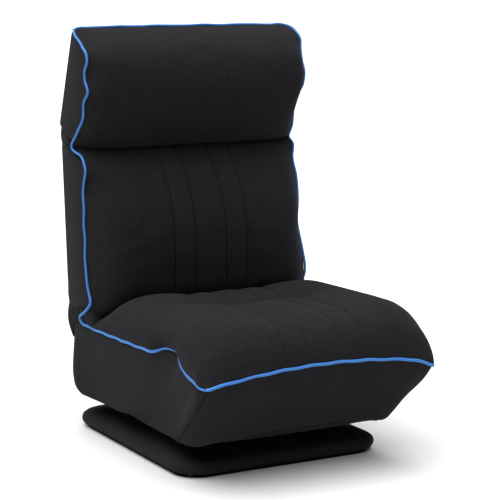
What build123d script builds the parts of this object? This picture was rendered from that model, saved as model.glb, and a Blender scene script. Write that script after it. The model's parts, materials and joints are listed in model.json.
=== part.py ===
from build123d import *
from math import cos, pi, radians, sin, sqrt
import os

# A low swivelling gaming sofa: a padded base on the floor, a deep seat that turns on it, a back that
# reclines on ratchet hinges inside its sides, and a headrest that tilts on smaller ones.
# Millimetres. The origin is on the floor on the swivel axis, X runs to the right as seen from the front,
# Y runs to the rear and Z runs up. Left and right are as seen from the front.

# Base
BASE_WIDTH = 500.0
BASE_DEPTH = 570.0
BASE_CORNER_R = 60.0
BASE_TOP_Z = 60.0
BASE_TOP_INSET = 85.0
BASE_EDGE_T = 34.0
BASE_ROLL_IN = 13.0
BASE_BOARD_INSET = 30.0
BASE_BOARD_T = 18.0
ANTISLIP_T = 3.0
RISER_SIDE = 220.0

# Swivel: two plates with a ring of balls between them, held together by a rivet
PLATE_SIDE = 200.0
PLATE_T = 3.0
PLATE_GAP = 4.0
PLATE_CORNER_R = 15.0
BALL_R = 3.0
BALL_COUNT = 24
RACE_R = 70.0
RIVET_R = 12.0
RIVET_FLANGE_R = 18.0
RIVET_FLANGE_T = 2.5
LOWER_SCREW_PITCH = 160.0
UPPER_SCREW_PITCH = 130.0
SCREW_R = 2.5
SCREW_HEAD_R = 5.5
SCREW_HEAD_T = 1.5
SCREW_LENGTH = 12.0

# Seat block
SEAT_UNDERSIDE_Z = 78.0
SEAT_FOOT_HALF_WIDTH = 243.0
SEAT_HALF_WIDTH = 272.0
SEAT_REAR_Y = 250.0
SEAT_PIPE_Z = 268.0
FRONT_FOOT_Y = -318.0
FRONT_BOW = 12.0
SLOPE_START_Y = -230.0
LIP_Y = -437.0
LIP_Z = 246.0
LIP_HALF_WIDTH = 280.0
NOTCH_Y = 218.0
NOTCH_Z = 226.0
SEAT_CROWN = 78.0
VALLEY_Y = -140.0
VALLEY_DEPTH = 20.0
CUSHION_REAR_Y = 100.0
SEAM_INNER_X = 39.0
SEAM_OUTER_X = 92.0

# Seat board, frame and filling
SEAT_BOARD_HALF_WIDTH = 231.0
SEAT_BOARD_FRONT_Y = -262.0
SEAT_BOARD_REAR_Y = 209.0
SEAT_BOARD_T = 15.0
DUST_COVER_T = 1.5
DUST_COVER_MARGIN = 4.0
POCKET_TOP_Z = 240.0
SEAT_TUBE_R = 12.5
SEAT_TUBE_X = 215.0
SEAT_FRAME_FRONT_Y = -235.0
SEAT_UPRIGHT_Y = 194.0
SEAT_UPRIGHT_TOP_Z = 232.0
SEAT_FRAME_BEND_R = 40.0
CROSS_BAR_R = 10.0
SEAT_BAR_YS = (-90.0, 80.0)
SADDLE_YS = (-165.0, 20.0)
SADDLE_T = 2.0
SADDLE_LENGTH = 24.0
SADDLE_FOOT = 20.0
CORE_GAP = 10.0
TUBE_WALL = 1.5

# Recline hinges
AXIS_Y = 222.0
AXIS_Z = 275.0
BACK_LEAN = 4.0
LEAF_T = 4.0
LEAF_HEAD_R = 26.0
LEAF_BAR_WIDTH = 26.0
RATCHET_T = 5.0
RATCHET_R = 20.0
RATCHET_TEETH = 60
TOOTH_DEPTH = 1.4
PIN_R = 5.0
PIN_HEAD_R = 9.0
PIN_HEAD_T = 3.0
BOLT_R = 4.0
BOLT_HEAD_R = 7.0
BOLT_HEAD_T = 3.0

# Backrest, measured along and across the line of the back from the recline axis
BACK_HALF_WIDTH = 276.0
BACK_FOOT_S = 15.0
BACK_TOP_S = 378.0
BACK_DEPTH = 172.0
BACK_PIPE_N = -85.0
BACK_PANEL_N = 19.0
BACK_PANEL_T = 22.0
BACK_PANEL_FOOT_S = 18.0
BACK_PANEL_TOP_S = 415.0
BACK_PANEL_CORNER_R = 30.0
BACK_TUBE_R = 11.0
BACK_TUBE_FOOT_S = 40.0
BACK_FRAME_TOP_S = 350.0
BACK_FRAME_BEND_R = 40.0
BACK_LEAF_END_S = 120.0
BACK_BAR_SS = (135.0, 250.0)
STRAP_COUNT = 4
STRAP_WIDTH = 45.0
STRAP_T = 2.0
STRAP_FIRST_S = 95.0
STRAP_PITCH = 62.0

# Neck hinges
NECK_S = 410.0
HEAD_FOLD = 24.0
NECK_LEAF_T = 3.0
NECK_HEAD_R = 17.0
NECK_BAR_WIDTH = 18.0
NECK_RATCHET_T = 4.0
NECK_RATCHET_R = 13.0
NECK_TEETH = 36
NECK_PIN_R = 4.0
NECK_LEAF_END_S = 272.0

# Headrest, measured along and across its own line from the neck axis
HEAD_HALF_WIDTH = 281.0
HEAD_HEIGHT = 252.0
HEAD_DEPTH = 127.0
HEAD_FOOT_S = 12.0
HEAD_CHIN_S = 3.0
HEAD_PANEL_N = 28.0
HEAD_PANEL_T = 18.0
HEAD_PANEL_TOP_S = 232.0
HEAD_PANEL_CORNER_R = 26.0
HEAD_TUBE_R = 8.0
HEAD_TUBE_FOOT_S = 30.0
HEAD_FRAME_TOP_S = 165.0
HEAD_FRAME_BEND_R = 40.0
HEAD_LEAF_END_S = 84.0

# Piping, and the clearances of seats, running fits and pockets
PIPE_R = 4.0
PIPE_GAP = 0.3
SOFT_GAP = 0.5
RUN_GAP = 0.3
PIN_CLEARANCE = 0.05
POCKET_GAP = 4.0

# Places that follow from the sizes above
BOARD_Z = ANTISLIP_T + BASE_BOARD_T
LOWER_PLATE_Z = SEAT_UNDERSIDE_Z - 2 * PLATE_T - PLATE_GAP
UPPER_PLATE_Z = SEAT_UNDERSIDE_Z - PLATE_T
RACE_Z = UPPER_PLATE_Z - PLATE_GAP / 2
SEAT_FLOOR_Z = SEAT_UNDERSIDE_Z + SEAT_BOARD_T
RAIL_Z = SEAT_FLOOR_Z + SEAT_TUBE_R
SEAT_LEAF_X = SEAT_TUBE_X + SEAT_TUBE_R
RATCHET_X = SEAT_LEAF_X + LEAF_T
BACK_LEAF_X = RATCHET_X + RATCHET_T + RUN_GAP
BACK_TUBE_X = BACK_LEAF_X - BACK_TUBE_R
NECK_LEAF_X = BACK_LEAF_X
NECK_RATCHET_X = NECK_LEAF_X + NECK_LEAF_T
HEAD_LEAF_X = NECK_RATCHET_X + NECK_RATCHET_T + RUN_GAP
HEAD_TUBE_X = HEAD_LEAF_X - HEAD_TUBE_R
HINGE_OUTER_X = BACK_LEAF_X + LEAF_T + RUN_GAP + PIN_HEAD_T
NECK_OUTER_X = HEAD_LEAF_X + NECK_LEAF_T + RUN_GAP + PIN_HEAD_T

# Frames in which the back and the headrest stand upright on their hinge axes
BACK_FRAME = Pos(0, AXIS_Y, AXIS_Z) * Rot(-BACK_LEAN, 0, 0)
HEAD_FRAME = BACK_FRAME * Pos(0, 0, NECK_S) * Rot(HEAD_FOLD, 0, 0)
SEAT_HINGE_FRAME = Pos(0, AXIS_Y, AXIS_Z)


def save(name, *solids):
    """Write the solids of one node to its file."""
    shape = solids[0] if len(solids) == 1 else Compound(children=list(solids))
    export_step(shape, f"parts/{name}.step")


def both_sides(name, right):
    """Write a right-hand piece and its mirror image as two nodes."""
    save(f"{name}_right", right)
    save(f"{name}_left", mirror(right, about=Plane.YZ))


def with_mirror(solids):
    """The solids of one side and their mirror images."""
    return list(solids) + [mirror(solid, about=Plane.YZ) for solid in solids]


def block(x0, x1, y0, y1, z0, z1):
    """A box between two values on each axis."""
    middle = Pos((x0 + x1) / 2, (y0 + y1) / 2, (z0 + z1) / 2)
    return middle * Box(x1 - x0, y1 - y0, z1 - z0)


def rod(radius, x0, x1, y, z):
    """A round bar along X."""
    return Pos((x0 + x1) / 2, y, z) * Rot(0, 90, 0) * Cylinder(radius, x1 - x0)


def post(radius, x, y, z0, z1):
    """A round bar along Z."""
    return Pos(x, y, (z0 + z1) / 2) * Cylinder(radius, z1 - z0)


def line(a, b):
    return Edge.make_line(Vector(*a), Vector(*b))


def arc(a, b, rise, normal):
    """An arc from a to b whose middle stands off the chord by rise, towards normal x (b - a)."""
    start = Vector(*a)
    end = Vector(*b)
    side = Vector(*normal).cross(end - start).normalized()
    return Edge.make_three_point_arc(start, (start + end) * 0.5 + side * rise, end)


def tube(path, radius, bore=0.0):
    """A round tube along a path, hollow where a bore is given."""
    start = Plane(origin=path @ 0, z_dir=path % 0)
    solid = sweep(start * Circle(radius), path=path)
    if bore > 0:
        solid -= sweep(start * Circle(bore), path=path)
    return solid


def largest(part):
    """The main solid of a part, without the slivers left outside a rounded piping corner."""
    return max(part.solids(), key=lambda solid: solid.volume)


def padded_slab(width, height, corner_r, thickness, edge):
    """A slab in XY with a rounded outline, whose outer face is drawn in by edge all round."""
    full = RectangleRounded(width, height, corner_r)
    inner = RectangleRounded(width - 2 * edge, height - 2 * edge, corner_r - edge / 2)
    return loft([full, Pos(0, 0, thickness * 0.55) * full, Pos(0, 0, thickness) * inner], ruled=True)


# Base


def base_section(z, inset):
    corner = BASE_CORNER_R - 0.3 * inset
    return Pos(0, 0, z) * RectangleRounded(BASE_WIDTH - 2 * inset, BASE_DEPTH - 2 * inset, corner)


def base_cover():
    """The padded cover: a round edge low down, then a slope up to the riser."""
    roll_r = BASE_EDGE_T / 2
    middle_z = ANTISLIP_T + roll_r
    sections = []
    for angle in range(-75, 76, 15):
        inset = BASE_ROLL_IN * (1 - cos(radians(angle)))
        sections.append(base_section(middle_z + roll_r * sin(radians(angle)) / sin(radians(75)), inset))
    sections.append(base_section(BASE_TOP_Z, BASE_TOP_INSET))
    skin = loft(sections, ruled=True)
    half_width = BASE_WIDTH / 2 - BASE_BOARD_INSET + SOFT_GAP
    half_depth = BASE_DEPTH / 2 - BASE_BOARD_INSET + SOFT_GAP
    half_riser = RISER_SIDE / 2 + SOFT_GAP
    skin -= block(-half_width, half_width, -half_depth, half_depth, 0, BOARD_Z)
    skin -= block(-half_riser, half_riser, -half_riser, half_riser, 0, BASE_TOP_Z + PIPE_R)
    return skin


def antislip_cloth():
    sole = base_section(0, BASE_ROLL_IN)
    return extrude(sole, ANTISLIP_T)


def base_board():
    half_width = BASE_WIDTH / 2 - BASE_BOARD_INSET
    half_depth = BASE_DEPTH / 2 - BASE_BOARD_INSET
    return block(-half_width, half_width, -half_depth, half_depth, ANTISLIP_T, BOARD_Z)


def riser_block():
    half = RISER_SIDE / 2
    body = block(-half, half, -half, half, BOARD_Z, LOWER_PLATE_Z)
    body -= post(RIVET_FLANGE_R + 2, 0, 0, LOWER_PLATE_Z - 2 * RIVET_FLANGE_T, LOWER_PLATE_Z)
    for x, y in corners(LOWER_SCREW_PITCH):
        body -= post(SCREW_R, x, y, LOWER_PLATE_Z + PLATE_T - SCREW_LENGTH, LOWER_PLATE_Z)
    return body


# Swivel


def corners(pitch):
    """The four corners of a square hole pattern."""
    return [(sx * pitch / 2, sy * pitch / 2) for sx in (-1, 1) for sy in (-1, 1)]


def swivel_plate(z, screw_pitch, bore):
    plate = Pos(0, 0, z) * extrude(RectangleRounded(PLATE_SIDE, PLATE_SIDE, PLATE_CORNER_R), PLATE_T)
    plate -= post(bore, 0, 0, z, z + PLATE_T)
    plate -= Pos(0, 0, RACE_Z) * Torus(RACE_R, BALL_R + PIN_CLEARANCE)
    for x, y in corners(screw_pitch):
        plate -= post(SCREW_R, x, y, z, z + PLATE_T)
    return plate


def swivel_balls():
    ball = Pos(RACE_R, 0, RACE_Z) * Sphere(BALL_R)
    return [Rot(0, 0, 360 * i / BALL_COUNT) * ball for i in range(BALL_COUNT)]


def swivel_rivet():
    """A rivet set fast in the upper plate, which runs in the lower one."""
    foot_z = LOWER_PLATE_Z - RUN_GAP
    top_z = SEAT_UNDERSIDE_Z
    rivet = post(RIVET_R, 0, 0, foot_z, top_z)
    rivet += post(RIVET_FLANGE_R, 0, 0, foot_z - RIVET_FLANGE_T, foot_z)
    rivet += post(RIVET_FLANGE_R, 0, 0, top_z, top_z + RIVET_FLANGE_T)
    return rivet


def screws(pitch, head_z, direction):
    """Four screws whose heads start at head_z, with their points in the given direction along Z."""
    group = []
    for x, y in corners(pitch):
        head = sorted((head_z, head_z - direction * SCREW_HEAD_T))
        shank = sorted((head_z, head_z + direction * SCREW_LENGTH))
        group.append(post(SCREW_HEAD_R, x, y, *head) + post(SCREW_R, x, y, *shank))
    return group


# Seat


def parting_z(y):
    """Height of the piped seam between the skirt and the cushion, which falls towards the front lip."""
    if y > SLOPE_START_Y:
        return SEAT_PIPE_Z
    share = (SLOPE_START_Y - y) / (SLOPE_START_Y - LIP_Y)
    return SEAT_PIPE_Z + (LIP_Z - SEAT_PIPE_Z) * share


def seat_half_width(y):
    """Half width at the piped seam, which flares towards the lip."""
    if y > SLOPE_START_Y:
        return SEAT_HALF_WIDTH
    share = (SLOPE_START_Y - y) / (SLOPE_START_Y - LIP_Y)
    return SEAT_HALF_WIDTH + (LIP_HALF_WIDTH - SEAT_HALF_WIDTH) * share


def above_parting():
    """All the room above the piped seam."""
    reach = 2 * SEAT_HALF_WIDTH
    front_y = LIP_Y - SEAT_CROWN
    top_z = SEAT_PIPE_Z + 2 * SEAT_CROWN
    side = Plane.YZ * make_face(Polyline(
        (SEAT_REAR_Y + SEAT_CROWN, SEAT_PIPE_Z),
        (SLOPE_START_Y, SEAT_PIPE_Z),
        (front_y, parting_z(front_y)),
        (front_y, top_z),
        (SEAT_REAR_Y + SEAT_CROWN, top_z),
        close=True,
    ))
    return extrude(side, reach, both=True)


def skirt_section(z, half_width, front_half_width, front_y, bow):
    """Plan of the skirt at one height: sides drawn in, front bowed out by bow, corners rounded."""
    up = (0, 0, -1)
    rear_r = 24.0
    front_r = 20.0
    drawn_in = -4.0
    rear = SEAT_REAR_Y
    corners_right = [
        (half_width - rear_r, rear, z),
        (half_width, rear - rear_r, z),
        (front_half_width, front_y + front_r, z),
        (front_half_width - front_r, front_y, z),
    ]
    left = [(-x, y, height) for x, y, height in corners_right]
    a, b, c, d = corners_right
    return Wire([
        line(a, left[0]),
        arc(left[0], left[1], 0.2 * rear_r, up),
        arc(left[1], left[2], drawn_in, up),
        arc(left[2], left[3], 0.2 * front_r, up),
        arc(left[3], d, bow, up),
        arc(d, c, 0.2 * front_r, up),
        arc(c, b, drawn_in, up),
        arc(b, a, 0.2 * rear_r, up),
    ])


def hinge_slot(foot_z):
    """Room in the skirt for one recline hinge, open above and behind."""
    x0 = SEAT_TUBE_X - POCKET_GAP
    x1 = HINGE_OUTER_X + POCKET_GAP
    y0 = SEAT_UPRIGHT_Y - LEAF_BAR_WIDTH / 2 - POCKET_GAP
    return block(x0, x1, y0, SEAT_REAR_Y + SEAT_CROWN, foot_z, SEAT_PIPE_Z + SEAT_CROWN)


def seat_skirt():
    foot = SEAT_UNDERSIDE_Z
    rise = SEAT_PIPE_Z - foot
    over = SEAT_CROWN / 3
    slope = (LIP_Y - FRONT_FOOT_Y) / (LIP_Z - foot)
    flare = LIP_HALF_WIDTH - SEAT_HALF_WIDTH
    sections = []
    for share, spread in ((0.0, 0.0), (0.2, 0.34), (0.55, 0.74), (1.0, 1.0), (1.0 + over / rise, 1.0)):
        half_width = SEAT_FOOT_HALF_WIDTH + (SEAT_HALF_WIDTH - SEAT_FOOT_HALF_WIDTH) * spread
        z = foot + share * rise
        front_y = FRONT_FOOT_Y + slope * (z - foot)
        bow = FRONT_BOW * (1.1 - share)
        sections.append(skirt_section(z, half_width, half_width + flare * share, front_y, bow))
    skirt = Part() + Solid.make_loft(sections)
    skirt -= above_parting()
    half_pocket = SEAT_BOARD_HALF_WIDTH + SOFT_GAP
    front = SEAT_BOARD_FRONT_Y - SOFT_GAP
    rear = SEAT_BOARD_REAR_Y + SOFT_GAP
    skirt -= block(-half_pocket, half_pocket, front, rear, 0, POCKET_TOP_Z)
    reach = 2 * SEAT_HALF_WIDTH
    skirt -= block(-reach, reach, NOTCH_Y, SEAT_REAR_Y + SEAT_CROWN, NOTCH_Z, SEAT_PIPE_Z + SEAT_CROWN)
    for slot in with_mirror([hinge_slot(NOTCH_Z - 2 * LEAF_HEAD_R)]):
        skirt -= slot
    skirt -= seat_pipe_path_tube(PIPE_R + PIPE_GAP)
    return skirt


def cushion_section(y, seam_rise, side_puff, strip_puff):
    """Cross section of the seat cushion: two wide side panels, two narrow strips and a middle strip."""
    front = (0, 1, 0)
    pipe_z = parting_z(y)
    half_width = seat_half_width(y)
    floor_z = pipe_z - SEAT_CROWN / 3
    seam_z = pipe_z + seam_rise
    right_foot = (half_width, y, floor_z)
    left_foot = (-half_width, y, floor_z)
    right_pipe = (half_width, y, pipe_z)
    left_pipe = (-half_width, y, pipe_z)
    seams = [(x, y, seam_z) for x in (SEAM_OUTER_X, SEAM_INNER_X, -SEAM_INNER_X, -SEAM_OUTER_X)]
    return Wire([
        line(left_foot, right_foot),
        line(right_foot, right_pipe),
        arc(right_pipe, seams[0], side_puff, front),
        arc(seams[0], seams[1], strip_puff, front),
        arc(seams[1], seams[2], strip_puff, front),
        arc(seams[2], seams[3], strip_puff, front),
        arc(seams[3], left_pipe, side_puff, front),
        line(left_pipe, left_foot),
    ])


def seat_cushion():
    """The sewn seat pad: a crest at the rear, a tufted valley across it, and a nose that rolls to the lip."""
    nose = SLOPE_START_Y - LIP_Y
    rear = CUSHION_REAR_Y
    crest_y = rear - 115.0
    side = 0.68 * SEAT_CROWN
    strip = 0.11 * SEAT_CROWN
    valley_rise = SEAT_CROWN - VALLEY_DEPTH
    sections = [
        cushion_section(rear, 0.08 * SEAT_CROWN, 0.04 * side, 0.1 * strip),
        cushion_section(rear - 22.0, 0.20 * SEAT_CROWN, 0.18 * side, 0.3 * strip),
        cushion_section(rear - 60.0, 0.60 * SEAT_CROWN, 0.56 * side, 0.6 * strip),
        cushion_section(crest_y, SEAT_CROWN, side, strip),
        cushion_section((crest_y + VALLEY_Y) / 2, valley_rise + 0.6 * VALLEY_DEPTH, side, strip),
        cushion_section(VALLEY_Y, valley_rise, side, 0.8 * strip),
        cushion_section((VALLEY_Y + SLOPE_START_Y) / 2, valley_rise + 0.5 * VALLEY_DEPTH, side, strip),
        cushion_section(SLOPE_START_Y - 0.25 * nose, 1.08 * SEAT_CROWN, side, strip),
        cushion_section(SLOPE_START_Y - 0.68 * nose, 1.08 * SEAT_CROWN, side, strip),
        cushion_section(SLOPE_START_Y - 0.90 * nose, 0.70 * SEAT_CROWN, 0.7 * side, 0.7 * strip),
        cushion_section(LIP_Y, 0.14 * SEAT_CROWN, 0.08 * side, 0.1 * strip),
    ]
    cushion = Part() + Solid.make_loft(sections)
    cushion &= above_parting()
    cushion -= seat_pipe_path_tube(PIPE_R + PIPE_GAP)
    return largest(cushion)


def seat_pipe_path_tube(radius):
    """A tube along the piped seam, from the left hinge round the front lip to the right hinge."""
    rear_y = NOTCH_Y - 0.15 * (NOTCH_Y - CUSHION_REAR_Y)
    right = [
        (SEAT_HALF_WIDTH, rear_y, SEAT_PIPE_Z),
        (SEAT_HALF_WIDTH, SLOPE_START_Y, SEAT_PIPE_Z),
        (LIP_HALF_WIDTH, LIP_Y, LIP_Z),
    ]
    left = [(-x, y, z) for x, y, z in right]
    slope_r = 160.0
    corner_r = 14.0
    path = FilletPolyline(*right, *reversed(left), radius=[slope_r, corner_r, corner_r, slope_r])
    return tube(path, radius)


def seat_board():
    board = block(-SEAT_BOARD_HALF_WIDTH, SEAT_BOARD_HALF_WIDTH, SEAT_BOARD_FRONT_Y, SEAT_BOARD_REAR_Y,
                  SEAT_UNDERSIDE_Z, SEAT_FLOOR_Z)
    board -= post(RIVET_FLANGE_R + 2, 0, 0, SEAT_UNDERSIDE_Z, SEAT_UNDERSIDE_Z + 2 * RIVET_FLANGE_T)
    for x, y in corners(UPPER_SCREW_PITCH):
        board -= post(SCREW_R, x, y, SEAT_UNDERSIDE_Z, UPPER_PLATE_Z + SCREW_LENGTH)
    return board


def dust_cover():
    """Thin cloth under the seat, cut out round the swivel plate."""
    half = SEAT_FOOT_HALF_WIDTH - DUST_COVER_MARGIN
    top = SEAT_UNDERSIDE_Z
    cover = block(-half, half, FRONT_FOOT_Y + 5 * DUST_COVER_MARGIN, SEAT_REAR_Y - 2 * DUST_COVER_MARGIN,
                  top - DUST_COVER_T, top)
    hole = PLATE_SIDE / 2 + SOFT_GAP
    cover -= block(-hole, hole, -hole, hole, top - DUST_COVER_T, top)
    return cover


def seat_frame():
    """One bent tube: up the left rear, along the rail, across the front and back up the right rear."""
    right = [
        (SEAT_TUBE_X, SEAT_UPRIGHT_Y, SEAT_UPRIGHT_TOP_Z),
        (SEAT_TUBE_X, SEAT_UPRIGHT_Y, RAIL_Z),
        (SEAT_TUBE_X, SEAT_FRAME_FRONT_Y, RAIL_Z),
    ]
    left = [(-x, y, z) for x, y, z in right]
    path = FilletPolyline(*right, *reversed(left), radius=SEAT_FRAME_BEND_R)
    frame = tube(path, SEAT_TUBE_R, SEAT_TUBE_R - TUBE_WALL)
    for y, z in seat_bolt_points():
        for sign in (-1, 1):
            frame -= rod(BOLT_R, sign * SEAT_TUBE_X - 2 * SEAT_TUBE_R, sign * SEAT_TUBE_X + 2 * SEAT_TUBE_R, y, z)
    return frame


def seat_cross_bar(y):
    """A bar welded between the two rails, with its ends cut to fit them."""
    bar = rod(CROSS_BAR_R, -SEAT_TUBE_X, SEAT_TUBE_X, y, RAIL_Z)
    bar -= rod(CROSS_BAR_R - TUBE_WALL, -SEAT_TUBE_X, SEAT_TUBE_X, y, RAIL_Z)
    for sign in (-1, 1):
        bar -= Pos(sign * SEAT_TUBE_X, y, RAIL_Z) * Rot(90, 0, 0) * Cylinder(SEAT_TUBE_R, 4 * CROSS_BAR_R)
    return bar


def saddles():
    """Sheet clips that hold the rails down on the seat board."""
    group = []
    outer = SEAT_TUBE_R + SADDLE_T
    for y in SADDLE_YS:
        for sign in (-1, 1):
            x = sign * SEAT_TUBE_X
            clip = Pos(x, y, RAIL_Z) * Rot(90, 0, 0) * Cylinder(outer, SADDLE_LENGTH)
            clip -= Pos(x, y, RAIL_Z) * Rot(90, 0, 0) * Cylinder(SEAT_TUBE_R, SADDLE_LENGTH)
            clip -= block(x - 2 * outer, x + 2 * outer, y - SADDLE_LENGTH, y + SADDLE_LENGTH,
                          RAIL_Z - 2 * outer, RAIL_Z)
            leg_x = sorted((x - sign * SEAT_TUBE_R, x - sign * outer))
            foot_x = sorted((x - sign * SEAT_TUBE_R, x - sign * (outer + SADDLE_FOOT)))
            y0 = y - SADDLE_LENGTH / 2
            y1 = y + SADDLE_LENGTH / 2
            clip += block(*leg_x, y0, y1, SEAT_FLOOR_Z, RAIL_Z)
            clip += block(*foot_x, y0, y1, SEAT_FLOOR_Z, SEAT_FLOOR_Z + SADDLE_T)
            group.append(clip)
    return group


def foam_core():
    """Foam block on the board between the rails, grooved underneath for the cross bars and clips."""
    half = SEAT_TUBE_X - SEAT_TUBE_R - CORE_GAP
    front = SEAT_FRAME_FRONT_Y + SEAT_TUBE_R + CORE_GAP
    rear = SEAT_UPRIGHT_Y - SEAT_TUBE_R
    core = block(-half, half, front, rear, SEAT_FLOOR_Z, POCKET_TOP_Z - SOFT_GAP)
    groove = CROSS_BAR_R + SOFT_GAP
    for y in SEAT_BAR_YS:
        core -= block(-half, half, y - groove, y + groove, SEAT_FLOOR_Z, RAIL_Z + groove)
    clip_half = SADDLE_LENGTH / 2 + SOFT_GAP
    for y in SADDLE_YS:
        core -= block(-half, half, y - clip_half, y + clip_half, SEAT_FLOOR_Z, SEAT_FLOOR_Z + 2 * SADDLE_T)
    return core


# Hinges


def leaf(head_r, bar_width, end, bore_r, bolt_points, x0, thickness):
    """A hinge leaf square to X: a round head on the axis, and a bar that runs to end, given as (n, s)."""
    reach = Vector(end[0], end[1], 0)
    bar = Pos(end[0] / 2, end[1] / 2) * Rot(0, 0, Vector(1, 0, 0).get_signed_angle(reach))
    plan = Circle(head_r) + bar * SlotCenterToCenter(reach.length, bar_width)
    plan -= Circle(bore_r)
    for n, s in bolt_points:
        plan -= Pos(n, s) * Circle(BOLT_R)
    return Pos(x0, 0, 0) * extrude(Plane.YZ * plan, thickness)


def ratchet(radius, teeth, bore_r, x0, thickness):
    """A saw-toothed wheel square to X."""
    points = []
    for i in range(teeth):
        angle = 2 * pi * i / teeth
        points.append((radius * cos(angle), radius * sin(angle)))
        points.append(((radius - TOOTH_DEPTH) * cos(angle), (radius - TOOTH_DEPTH) * sin(angle)))
    wheel = make_face(Polyline(*points, close=True)) - Circle(bore_r)
    return Pos(x0, 0, 0) * extrude(Plane.YZ * wheel, thickness)


def pawl(wheel_r, x0, x1):
    """A pawl on the moving leaf, its nose just clear of the tooth tips."""
    nose = wheel_r + PIPE_GAP
    half = 0.3 * wheel_r
    plan = make_face(Polyline(
        (0, nose),
        (half, nose + half),
        (half, nose + 2 * half),
        (-half, nose + 2 * half),
        (-half, nose + half),
        close=True,
    ))
    return Pos(x0, 0, 0) * extrude(Plane.YZ * plan, x1 - x0)


def pin(radius, x0, x1):
    """A pivot pin with a head at each end, fast in the inner leaf."""
    body = rod(radius, x0, x1, 0, 0)
    body += rod(PIN_HEAD_R * radius / PIN_R, x0 - PIN_HEAD_T, x0, 0, 0)
    body += rod(PIN_HEAD_R * radius / PIN_R, x1, x1 + PIN_HEAD_T, 0, 0)
    return body


def bolts(points, head_x, nut_x):
    """Bolts along X through a leaf and its tube, with a head outside and a nut inside."""
    group = []
    for n, s in points:
        bolt = rod(BOLT_R, nut_x, head_x, n, s)
        bolt += rod(BOLT_HEAD_R, head_x, head_x + BOLT_HEAD_T, n, s)
        bolt += rod(BOLT_HEAD_R, nut_x - BOLT_HEAD_T, nut_x, n, s)
        group.append(bolt)
    return group


def seat_bolt_points():
    """Bolt places on the seat uprights, in Y and Z."""
    return [(SEAT_UPRIGHT_Y, SEAT_UPRIGHT_TOP_Z - 2 * BOLT_R), (SEAT_UPRIGHT_Y, SEAT_UPRIGHT_TOP_Z - 7 * BOLT_R)]


def seat_leaf():
    points = [(y - AXIS_Y, z - AXIS_Z) for y, z in seat_bolt_points()]
    end = (points[1][0], points[1][1])
    return SEAT_HINGE_FRAME * leaf(LEAF_HEAD_R, LEAF_BAR_WIDTH, end, PIN_R, points, SEAT_LEAF_X, LEAF_T)


def seat_bolts():
    points = [(y - AXIS_Y, z - AXIS_Z) for y, z in seat_bolt_points()]
    head_x = SEAT_LEAF_X + LEAF_T
    return [SEAT_HINGE_FRAME * bolt for bolt in bolts(points, head_x, SEAT_TUBE_X - SEAT_TUBE_R)]


def back_bolt_points():
    return [(0, BACK_TUBE_FOOT_S + 4 * BOLT_R), (0, BACK_LEAF_END_S - 3 * BOLT_R)]


def back_leaf():
    bore = PIN_R + PIN_CLEARANCE
    end = (0, BACK_LEAF_END_S)
    plate = leaf(LEAF_HEAD_R, LEAF_BAR_WIDTH, end, bore, back_bolt_points(), BACK_LEAF_X, LEAF_T)
    return BACK_FRAME * plate


def neck_bolt_points():
    foot = NECK_LEAF_END_S - NECK_S
    return [(0, foot), (0, foot + 6 * BOLT_R)]


def neck_leaf():
    end = (0, NECK_LEAF_END_S - NECK_S)
    plate = leaf(NECK_HEAD_R, NECK_BAR_WIDTH, end, NECK_PIN_R, neck_bolt_points(), NECK_LEAF_X, NECK_LEAF_T)
    return BACK_FRAME * Pos(0, 0, NECK_S) * plate


def head_bolt_points():
    return [(0, HEAD_TUBE_FOOT_S + 3 * BOLT_R), (0, HEAD_LEAF_END_S - 2 * BOLT_R)]


def head_leaf():
    bore = NECK_PIN_R + PIN_CLEARANCE
    end = (0, HEAD_LEAF_END_S)
    plate = leaf(NECK_HEAD_R, NECK_BAR_WIDTH, end, bore, head_bolt_points(), HEAD_LEAF_X, NECK_LEAF_T)
    return HEAD_FRAME * plate


# Backrest


def bent_frame(tube_x, tube_r, foot_s, top_s, bend_r, bolt_points):
    """An upturned U of tube in the plane of the back, drilled for the hinge bolts."""
    path = FilletPolyline(
        (tube_x, 0, foot_s), (tube_x, 0, top_s), (-tube_x, 0, top_s), (-tube_x, 0, foot_s), radius=bend_r)
    frame = tube(path, tube_r, tube_r - TUBE_WALL)
    for n, s in bolt_points:
        for sign in (-1, 1):
            frame -= rod(BOLT_R, sign * tube_x - 2 * tube_r, sign * tube_x + 2 * tube_r, n, s)
    return frame


def back_tube_frame():
    neck_points = [(n, NECK_S + s) for n, s in neck_bolt_points()]
    return bent_frame(BACK_TUBE_X, BACK_TUBE_R, BACK_TUBE_FOOT_S, BACK_FRAME_TOP_S, BACK_FRAME_BEND_R,
                      back_bolt_points() + neck_points)


def back_cross_bar(s):
    bar = rod(CROSS_BAR_R, -BACK_TUBE_X, BACK_TUBE_X, 0, s)
    bar -= rod(CROSS_BAR_R - TUBE_WALL, -BACK_TUBE_X, BACK_TUBE_X, 0, s)
    for sign in (-1, 1):
        bar -= post(BACK_TUBE_R, sign * BACK_TUBE_X, 0, s - 2 * CROSS_BAR_R, s + 2 * CROSS_BAR_R)
    return bar


def webbing():
    """Elastic straps stretched across the front of the back frame."""
    straps = []
    for i in range(STRAP_COUNT):
        s = STRAP_FIRST_S + i * STRAP_PITCH
        straps.append(block(-BACK_TUBE_X, BACK_TUBE_X, -BACK_TUBE_R - STRAP_T, -BACK_TUBE_R,
                            s - STRAP_WIDTH / 2, s + STRAP_WIDTH / 2))
    return straps


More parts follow.
